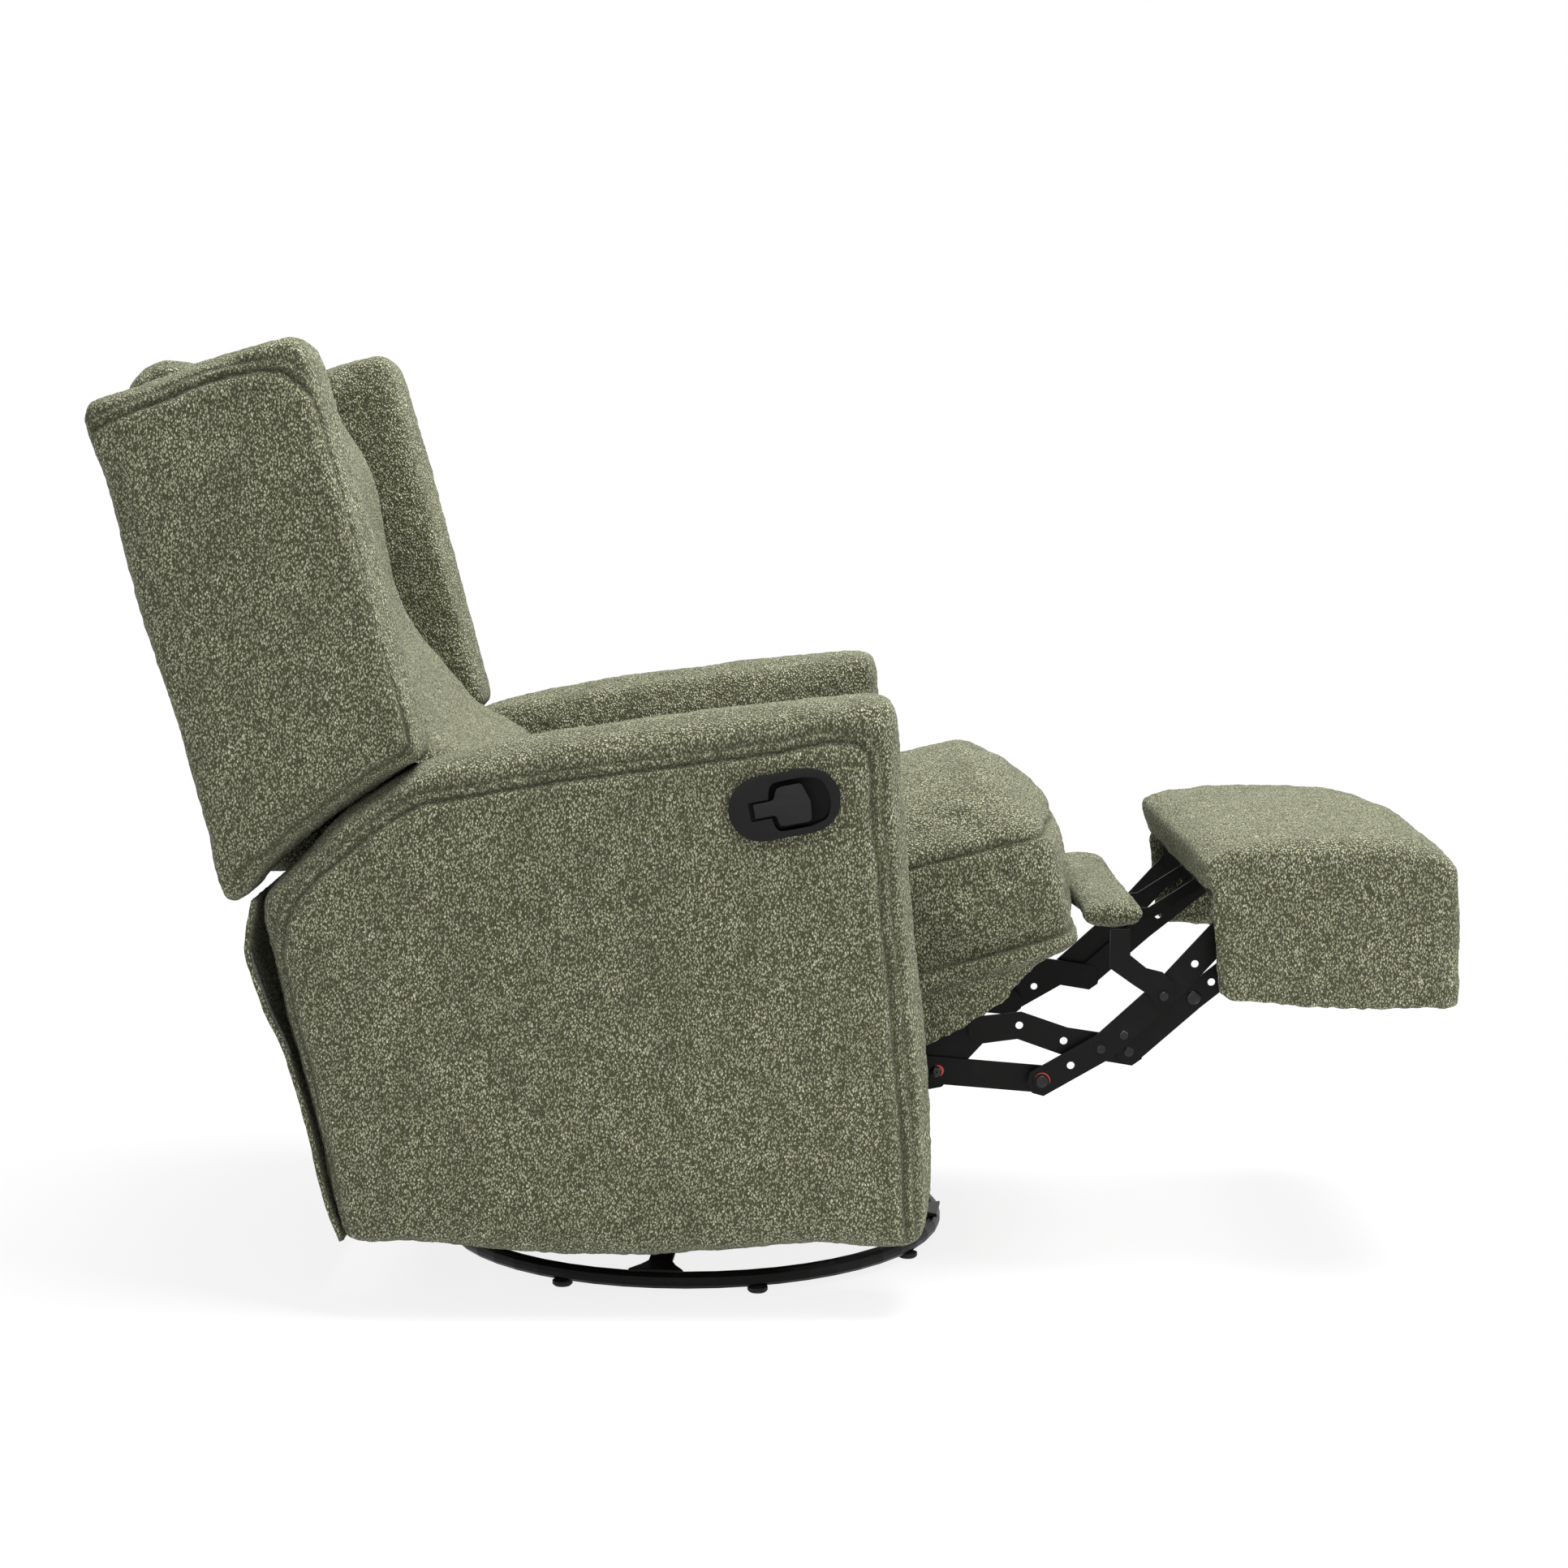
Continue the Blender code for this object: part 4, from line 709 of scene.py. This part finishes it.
looped_cloth = looped_cloth_group()
worn_coat = worn_coat_group()
sage = cloth("sage_loops", (0.046, 0.046, 0.025), (0.372, 0.383, 0.25), (0.86, 0.85, 0.66), 470.0)
velcro = cloth("grey_hook_tape", (0.04, 0.042, 0.04), (0.18, 0.185, 0.18), (0.3, 0.31, 0.3),
               900.0, slubs=0.0, bump=0.4, sheen=0.05)
lining = cloth("dark_lining", (0.012, 0.013, 0.01), (0.05, 0.052, 0.04), (0.09, 0.095, 0.075),
               520.0, slubs=0.0, bump=0.4, sheen=0.05)
black_coat = coated("black_powder_coat", (0.005, 0.005, 0.0048), (0.013, 0.013, 0.012),
                    0.28, 0.36, 1100.0, 0.2, specular=0.11)
black_plastic = coated("grained_black_plastic", (0.0075, 0.0075, 0.0078), (0.014, 0.014, 0.014),
                       0.35, 0.34, 2600.0, 0.35, specular=0.14)
lever_plastic = coated("grained_lever_plastic", (0.0115, 0.0115, 0.0115), (0.019, 0.019, 0.019),
                       0.35, 0.44, 2600.0, 0.35, specular=0.17)
rivet_steel = coated("rivet_steel", (0.03, 0.03, 0.031), (0.24, 0.238, 0.232),
                     0.6, 0.2, 420.0, 0.6, metallic=0.85)
red_paint = coated("red_marking_paint", (0.42, 0.03, 0.02), (0.26, 0.02, 0.015),
                   0.5, 0.5, 900.0, 0.4)
rubber = coated("glide_rubber", (0.014, 0.014, 0.014), (0.035, 0.035, 0.034), 0.4, 0.68, 1500.0, 0.4)
ply = plywood("plywood")

slots = {"fabric": sage, "black_steel": black_coat, "black_plastic": black_plastic, "wood": ply,
         "rubber": rubber}
for entry in frame["record"]["subparts"]:
    target = nodes[entry["node"]]
    target.data.materials.clear()
    target.data.materials.append(slots[entry["material_slot"]])
nodes["footrest_board"].data.materials[0] = lining


def upholstered(piece, names, body):
    """Dress a padded piece, let it stand for its solids and ride on its body."""
    piece.data.materials.clear()
    piece.data.materials.append(sage)
    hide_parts(*names)
    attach(piece, body)
    return piece


def inside_of(flat, loop):
    """1 for points inside a closed loop and 0 outside: the count of the loop's edges that a
    ray towards +X crosses is odd inside."""
    crossed = np.zeros(len(flat), bool)
    ends = np.array(loop)
    for (ax, az), (bx, bz) in zip(ends, np.roll(ends, -1, axis=0)):
        spans = (az > flat[:, 1]) != (bz > flat[:, 1])
        reach = ax + (flat[:, 1] - az) * (bx - ax) / (bz - az if bz != az else 1e-9)
        crossed ^= spans & (flat[:, 0] < reach)
    return crossed.astype(float)


# Padded pieces.
def plate_distance(points):
    """Distance in the side's plane from the edge of the handle's plate, a stadium: the
    distance to its middle line less half its height."""
    flat = points[:, (0, 2)] - np.array(plate_middle)
    ahead = np.array((math.cos(plate_tilt), math.sin(plate_tilt)))
    straight = (plate_length - plate_height) / 2
    t = np.clip(flat @ ahead, -straight, straight)
    away = flat - t.reshape(-1, 1) * ahead
    return np.hypot(away[:, 0], away[:, 1]) - plate_height / 2


def chair_side(name, hand):
    """One upholstered side with its felled seam.  The right one is sunk flat behind the
    handle's plate, and pushed deeper where the plate has its cup."""
    piece = skin(name + "_cover", [name], grain=0.0062)
    blown(piece, pressure=1.5, cap=0.003)
    finer(piece)
    mesh = piece.data
    write_points(mesh, shaped(read_points(mesh), (0, 2), (-0.2, 0.35), side_outline, inner=0.84))
    points, normals = read_points(mesh), read_normals(mesh)
    move, shade = felled(points, normals, side_seam, hand)
    outward = ramp(normals[:, 1] * hand, 0.5, 0.8)
    away, _ = line_distance(points[:, (0, 2)], side_seam)
    crown = 0.0022
    move += crown * inside_of(points[:, (0, 2)], side_seam) * outward * ramp(away, 0.004, 0.06)
    if hand < 0:
        near = plate_distance(points)
        margin, cup_edge, behind_cup, outer_skin, gap = 0.02, -0.0035, -0.35, -0.371, 0.0003
        free = ramp(near, 0.001, margin)
        move = np.where(outward > 0.2, move * free, move)
        sunk = (outward > 0.2) & (near < margin) & (points[:, 1] < outer_skin)
        points[:, 1] += np.where(sunk, 1 - free, 0.0) * (-side_face - gap - points[:, 1])
        cup = (near < cup_edge) & (points[:, 1] < -0.3)
        points[:, 1] = np.where(cup, np.maximum(points[:, 1], behind_cup), points[:, 1])
    write_points(mesh, points)
    return relief(piece, [(move, shade)])


def wing(name, hand):
    """One side of the back with its wrapped front band and its bottom hem."""
    piece = skin(name + "_cover", [name], grain=0.0062)
    blown(piece, pressure=1.5, cap=0.003)
    finer(piece)
    points = shaped(read_points(piece.data), (0, 2), (-0.545, 0.74), wing_outline, inner=0.78)
    write_points(piece.data, points)
    points, normals = read_points(piece.data), read_normals(piece.data)
    # The seam and the hem each bring painted shade in their grooves.
    seam = felled(points, normals, wing_seam, hand)
    hem = felled(points, normals, wing_hem, hand, apart=0.0, depth=0.0012, puff=0.0008)
    face = ramp(normals[:, 1] * hand, 0.5, 0.8)
    crown = 0.003
    puff = crown * face * ramp(line_distance(points[:, (0, 2)], wing_seam)[0], 0.01, 0.08)
    return relief(piece, [seam, hem, (puff, np.zeros(len(points)))])


def seat():
    """The thick seat cushion with the apron sewn below it: a blown skin with a roll around
    its front, a top seam, a lower seam and a boxing that swells between them.  Its lower
    corners are tucked in and its nose is cut off below, so that the footrest can close."""
    start, nose, half, turn = 0.12, 0.29, 0.2415, 0.03
    flat = along([(start, -half), (nose - turn, -half), (nose, -half), (nose, -half + turn),
                  (nose, half - turn), (nose, half), (nose - turn, half), (start, half)], 90)
    height, slope, place = roll_path
    path = np.column_stack([flat, height + slope * (flat[:, 0] - place)])
    roll = swept("seat_roll", path, wide=0.0135, tall=0.0128)
    piece = skin("seat_upholstery", seat_solids, grain=0.007, soft=3, extra=roll)
    under = above(read_points(piece.data), low_seam)
    blown(piece, pressure=4.0, cap=0.01, held=np.where(under < -0.002, 1.0, 0.0))
    points = read_points(finer(piece).data)
    slices = reach_at(points[:, 2], points[:, 0], low=0.24, step=0.008, count=44, take=np.max)
    own = np.interp(points[:, 2], *slices)
    knots = np.array(seat_nose)
    aim = np.interp(points[:, 2], knots[:, 1], knots[:, 0])
    free = ramp(points[:, 2], 0.375, 0.4) * ramp(points[:, 0], 0.08, 0.27)
    furthest_back, furthest_out = -0.03, 0.012
    points[:, 0] += free * np.clip(aim - own, furthest_back, furthest_out)
    full, tucked, tuck_end, tuck_top = 0.268, 0.0205, 0.22, 0.354
    tuck = tucked * (ramp(tuck_end - points[:, 0], 0.0, 0.02) * ramp(tuck_top - points[:, 2], 0.0, 0.006))
    points[:, 1] = np.clip(points[:, 1], -full + tuck, full - tuck)
    lip_start, lip_height, lip_slope = 0.274, 0.367, 0.7
    lip = lip_height + lip_slope * (points[:, 0] - nose)
    points[:, 2] = np.where(points[:, 0] > lip_start, np.maximum(points[:, 2], lip), points[:, 2])
    write_points(piece.data, points)
    points, normals = read_points(piece.data), read_normals(piece.data)
    level = ramp(np.hypot(normals[:, 0], normals[:, 1]), 0.45, 0.75)
    ripple = 0.0012 * lumps(points, 0.045, 21)
    top, low = above(points, top_seam) + ripple, above(points, low_seam) + ripple
    fold = above(points, apron_fold) + 2 * ripple
    # Each crease also paints shade into its groove.
    return relief(piece, [crease(points, normals, top, level, depth=0.003, puff=0.002),
                          crease(points, normals, low, level, depth=0.0036, puff=0.0012),
                          crease(points, normals, fold, level * 0.7, 0.002, 0.006, 0.001)])


def back_cushion():
    """The inner cushion of the back.  Its front is drawn back below the head and comes
    forward again just above the seat."""
    piece = skin("back_cushion_cover", ["back_cushion"], grain=0.007)
    blown(piece, pressure=4.0, cap=0.006)
    points = read_points(piece.data)
    slices = reach_at(points[:, 2], points[:, 0], low=0.45, step=0.01, count=54, take=np.min)
    behind = np.interp(points[:, 2], *slices)
    front = ramp(points[:, 0] - behind, 0.02, 0.1)
    drawn, lumbar, head, waist = 0.078, 0.045, 0.9, 0.6
    height = points[:, 2]
    back = drawn * ramp(head - height, 0.0, 0.24) - lumbar * ramp(waist - height, 0.0, 0.05)
    points[:, 0] -= front * back
    write_points(piece.data, points)
    return relief(finer(piece))


def back_rear():
    """The upholstered rear of the back, with its top edge a little higher and further back."""
    piece = skin("back_shell_cover", ["back_shell"], grain=0.008)
    blown(piece, pressure=2.0, cap=0.004)
    points = read_points(piece.data)
    higher, further_back = 0.009, 0.006
    edge = ramp(points[:, 2], 0.88, 0.975)
    points[:, 2] += higher * edge
    points[:, 0] -= further_back * edge
    write_points(piece.data, points)
    return relief(finer(piece))


def footrest_cover():
    """The padded box of the footrest: its outside swells and its hollow stays."""
    piece = skin("footrest_padding", ["footrest_cover"], grain=0.006, rounds=6, soft=1)
    points = read_points(piece.data)
    low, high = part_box("footrest_cover")
    depth = np.minimum.reduce([high.z - 0.01 - points[:, 2], high.x - points[:, 0],
                               seat_face - np.abs(points[:, 1])])
    wall = 0.012
    blown(piece, pressure=3.0, cap=0.003, held=np.where(depth > wall, 1.0, 0.0))
    points = shaped(read_points(piece.data), (0, 1), (0.575, 0.0), foot_plan, 0.0, 120)
    points = shaped(points, (0, 2), (0.575, 0.4), foot_outline, 0.0, 120)
    write_points(piece.data, shaped(points, (1, 2), (0.0, 0.4), foot_section, 0.0, 120))
    return relief(finer(piece))


def small_pad():
    """The small pad between the seat and the footrest."""
    piece = skin("calf_pad_cover", ["calf_pad"], grain=0.005, rounds=6, soft=1)
    blown(piece, pressure=4.0, cap=0.003)
    return relief(finer(piece))


upholstered(chair_side("side_left", 1.0), ["side_left"], "chassis")
upholstered(chair_side("side_right", -1.0), ["side_right"], "chassis")
upholstered(wing("wing_left", 1.0), ["wing_left"], "back")
upholstered(wing("wing_right", -1.0), ["wing_right"], "back")
upholstered(seat(), seat_solids, "chassis")
upholstered(back_cushion(), ["back_cushion"], "back")
upholstered(back_rear(), ["back_shell"], "back")
upholstered(footrest_cover(), ["footrest_cover"], "footrest")
upholstered(small_pad(), ["calf_pad"], "calf_pad")


def rear_flap():
    """The slack sheet that closes the back of the base.  It follows the rear line from top
    to bottom and Y across; slow waves push it out and in, strongest below its top edge.
    Its two layers, a cloth's thickness apart, join at the borders."""
    thick, half, bulge, ripple = 0.0048, 0.3665, 0.0035, 0.003
    line = along(rear_line, 96)
    ahead = np.gradient(line, axis=0)
    ahead /= np.linalg.norm(ahead, axis=1).reshape(-1, 1)
    out = np.stack([ahead[:, 1], -ahead[:, 0]], axis=1)
    out *= np.sign(-out[:, :1].mean())
    across = np.linspace(-half, half, 190)
    down = np.linspace(0.0, 1.0, len(line)).reshape(-1, 1)
    free = np.sin(math.pi * np.clip(down * 1.05, 0.0, 1.0)) * (1 - (across / half) ** 8)
    place = np.zeros(free.shape + (3,))
    place[:, :, 0] = down * 0.36
    place[:, :, 1] = across
    slow = lumps(place.reshape(-1, 3) * (0.6, 1.0, 1.0), 0.085, 31).reshape(free.shape)
    fine = lumps(place.reshape(-1, 3), 0.008, 32).reshape(free.shape)
    wave = free * (bulge * slow + ripple * np.cos(across * 21.0 + 2.5 * down)) + 0.0005 * fine
    layers = []
    for offset in (thick / 2, -thick / 2):
        sheet = np.empty(free.shape + (3,))
        sheet[:, :, 0] = line[:, :1] + out[:, :1] * (wave + offset)
        sheet[:, :, 1] = across
        sheet[:, :, 2] = line[:, 1:] + out[:, 1:] * (wave + offset)
        layers.append(sheet)
    ring = np.concatenate([layers[0], layers[1][:, ::-1]], axis=1)
    piece = new_piece("rear_flap", grid_mesh("rear_flap", ring, close_v=True))
    fill_ends(piece.data)
    piece.data.materials.append(sage)
    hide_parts("rear_panel")
    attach(piece, "chassis")
    for name, hand in (("left", 1.0), ("right", -1.0)):
        hook_tape("hook_tape_" + name, hand, line[14:44], -out[14:44])


def hook_tape(name, hand, strip, inward):
    """A flat tape on the inner face of the sheet near one border: the strip of the rear line
    moved inward by two depths, each from the tape's outer edge to its inner one."""
    rows = []
    for depth in (0.0027, 0.0041):
        x, z = (strip + inward * depth).T
        rows.append(np.stack([np.column_stack([x, np.full(len(strip), edge * hand), z])
                              for edge in (0.3655, 0.3525)], axis=1))
    around = np.concatenate([rows[0], rows[1][:, ::-1]], axis=1)
    tape = new_piece(name, grid_mesh(name, around, close_v=True, caps=True))
    tape.data.materials.append(velcro)
    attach(tape, "chassis")


def fill_ends(mesh):
    """Close the open top and bottom of a sheet's two layers with a strip of faces."""
    work = bmesh.new()
    work.from_mesh(mesh)
    rim = [edge for edge in work.edges if len(edge.link_faces) == 1]
    loops = sorted({vertex for edge in rim for vertex in edge.verts}, key=lambda vertex: vertex.index)
    half = len(loops) // 2
    for row in (loops[:half], loops[half:]):
        pairs = len(row) // 2
        for k in range(pairs - 1):
            work.faces.new((row[k], row[k + 1], row[-2 - k], row[-1 - k]))
    bmesh.ops.recalc_face_normals(work, faces=work.faces)
    work.to_mesh(mesh)
    work.free()


def softened(name, node, width, finish):
    """A hard piece with its edges rounded off: its merged copy with a small bevel."""
    piece = new_piece(name, merged_copy(node))
    edge = piece.modifiers.new("edge", "BEVEL")
    edge.width = width
    edge.segments = 3
    edge.limit_method = "ANGLE"
    edge.angle_limit = math.radians(38)
    edge.harden_normals = False
    finished(piece)
    piece.data.materials.clear()
    piece.data.materials.append(finish)
    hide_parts(node)
    return piece


def rivet(name, body, place, base, hand, radius, height, finish):
    """A domed rivet head that stands on a plate: a profile turned about Y.  Its reach
    shrinks as a mix of a cosine and a straight line while its height grows as a sine, and
    its middle has a small dimple."""
    s = np.linspace(0.0, 1.0, 9)[:-1]
    ring = np.cos(s * math.pi / 2) ** 0.55 * 0.72 + 0.28 * (1 - s)
    rise = np.sin(s * math.pi / 2) ** 0.8
    ring = radius * np.concatenate([[1.0], ring, [0.22, 0.1]])
    rise = height * np.concatenate([[0.0], rise, [1.00, 0.86]])
    turn = np.linspace(0.0, 2 * math.pi, 20, endpoint=False)
    points = np.empty((len(ring), len(turn), 3))
    points[:, :, 0] = chair_middle + place[0] + ring[:, None] * np.cos(turn)
    points[:, :, 1] = hand * (base + rise[:, None])
    points[:, :, 2] = place[1] + ring[:, None] * np.sin(turn)
    piece = new_piece(name, grid_mesh(name, points, close_v=True, caps=True))
    piece.data.materials.append(finish)
    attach(piece, body)
    return piece


def rivets():
    """Bolt heads and marking paint on the linkage, mirrored for the far side.  Each row has
    the body, the place, how far out the head stands, its radius and its height."""
    heads = [("boss_rivet", "long_links", (0.4463, 0.2567), 0.2303, 0.005, 0.0013),
             ("mid_rivet", "long_links", (0.4708, 0.2722), 0.2303, 0.005, 0.0013),
             ("stop_rivet", "rear_links", (0.4772, 0.2525), 0.2239, 0.0056, 0.0014),
             ("upper_rivet", "long_links", (0.5126, 0.3154), 0.2344, 0.005, 0.0013),
             ("corner_bolt", "short_links", (0.5464, 0.312), 0.2239, 0.008, 0.0022),
             ("elbow_bolt", "front_links", (0.3827, 0.2214), 0.2326, 0.0066, 0.0013),
             ("front_bolt", "front_links", (0.2691, 0.2294), 0.2175, 0.0068, 0.0034)]
    paint = [("elbow_paint", (0.3833, 0.2224), 0.2304, 0.0088, 0.0003),
             ("front_paint", (0.2715, 0.2306), 0.2174, 0.0067, 0.001)]
    for name, hand in (("left", 1.0), ("right", -1.0)):
        for label, body, place, base, radius, height in heads:
            rivet(label + "_" + name, body, place, base, hand, radius, height, rivet_steel)
        for label, place, base, radius, height in paint:
            rivet(label + "_" + name, "front_links", place, base, hand, radius, height, red_paint)


rear_flap()
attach(softened("handle_bezel", "handle_plate", 0.0012, black_plastic), "chassis")
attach(softened("handle_lever", "handle_paddle", 0.0009, lever_plastic), "paddle")
rivets()


# The room: camera, floor, light.
def camera():
    """The photograph's view, from in front of the right side and a little above the arms."""
    data = bpy.data.cameras.new("view")
    looks_down = 6.6706
    data.lens = 65.96
    data.sensor_width = 36.0
    seen = linked("view", data)
    seen.location = (-0.012, -3.27, 0.9)
    seen.rotation_euler = (math.radians(90.0 - looks_down), 0.0, 0.0)
    bpy.context.scene.camera = seen


def lamp(name, place, aim, size, power):
    """A square soft white light at a place, turned to an aim."""
    data = bpy.data.lights.new(name, "AREA")
    data.shape = "SQUARE"
    data.size = size
    data.energy = power
    light = linked(name, data)
    light.location = place
    light.rotation_euler = (Vector(aim) - Vector(place)).to_track_quat("-Z", "Y").to_euler()


def eye_rays(tree):
    """1 for rays that show a background, which come from the camera, off a shiny surface or
    through a clear one, and 0 for the rest, out of Light Path."""
    path = put(tree, "ShaderNodeLightPath").outputs
    seen = sums(tree, "MAXIMUM", path["Is Camera Ray"], path["Is Glossy Ray"])
    return sums(tree, "MAXIMUM", seen, path["Is Transmission Ray"])


def pale_sky():
    """A world that lights the chair evenly and shows plain white as a background."""
    world = bpy.data.worlds.new("studio")
    bpy.context.scene.world = world
    world.use_nodes = True
    tree = world.node_tree
    tree.nodes.clear()
    sky = put(tree, "ShaderNodeBackground", {"Color": (1.0, 1.0, 1.0, 1.0), "Strength": 0.56})
    white = put(tree, "ShaderNodeBackground", {"Color": (1.0, 1.0, 1.0, 1.0), "Strength": 1.0})
    mix = put(tree, "ShaderNodeMixShader", {0: eye_rays(tree), 1: sky.outputs[0], 2: white.outputs[0]})
    put(tree, "ShaderNodeOutputWorld", {"Surface": mix.outputs[0]})


def pale_floor():
    """A pale floor that keeps a soft shadow near the chair and fades to white around it."""
    half = 9.0
    mesh = bpy.data.meshes.new("floor")
    mesh.from_pydata([(-half, -half, 0.0), (half, -half, 0.0), (half, half, 0.0), (-half, half, 0.0)],
                     [], [(0, 1, 2, 3)])
    floor = linked("floor", mesh)
    look, tree, shader, place = new_finish("pale_floor")
    feed(tree, shader, {"Base Color": (0.93, 0.93, 0.93, 1.0), "Roughness": 0.9,
                        "Specular IOR Level": 0.0})
    reach = put(tree, "ShaderNodeVectorMath", {0: place}, operation="LENGTH").outputs["Value"]
    share = sums(tree, "MULTIPLY", eye_rays(tree), span(tree, reach, 0.55, 1.5, 0.84, 1.0))
    glow = put(tree, "ShaderNodeEmission", {"Strength": 1.0})
    mix = put(tree, "ShaderNodeMixShader", {0: share, 1: shader.outputs[0], 2: glow.outputs[0]})
    feed(tree, tree.nodes["Material Output"], {"Surface": mix.outputs[0]})
    mesh.materials.append(look)


def lights():
    """A broad lamp above the seat, a weak one in front of the footrest and one at the eye."""
    lamp("high", (0.55, -0.25, 3.4), (0.1, 0.0, 0.5), 2.2, 250.0)
    lamp("front", (2.1, -0.9, 1.1), (0.0, 0.0, 0.5), 1.2, 11.0)
    lamp("near", (-0.6, -4.2, 2.2), (0.0, 0.0, 0.5), 2.4, 14.0)


camera()
pale_sky()
pale_floor()
lights()
bpy.context.scene.view_settings.view_transform = "Standard"
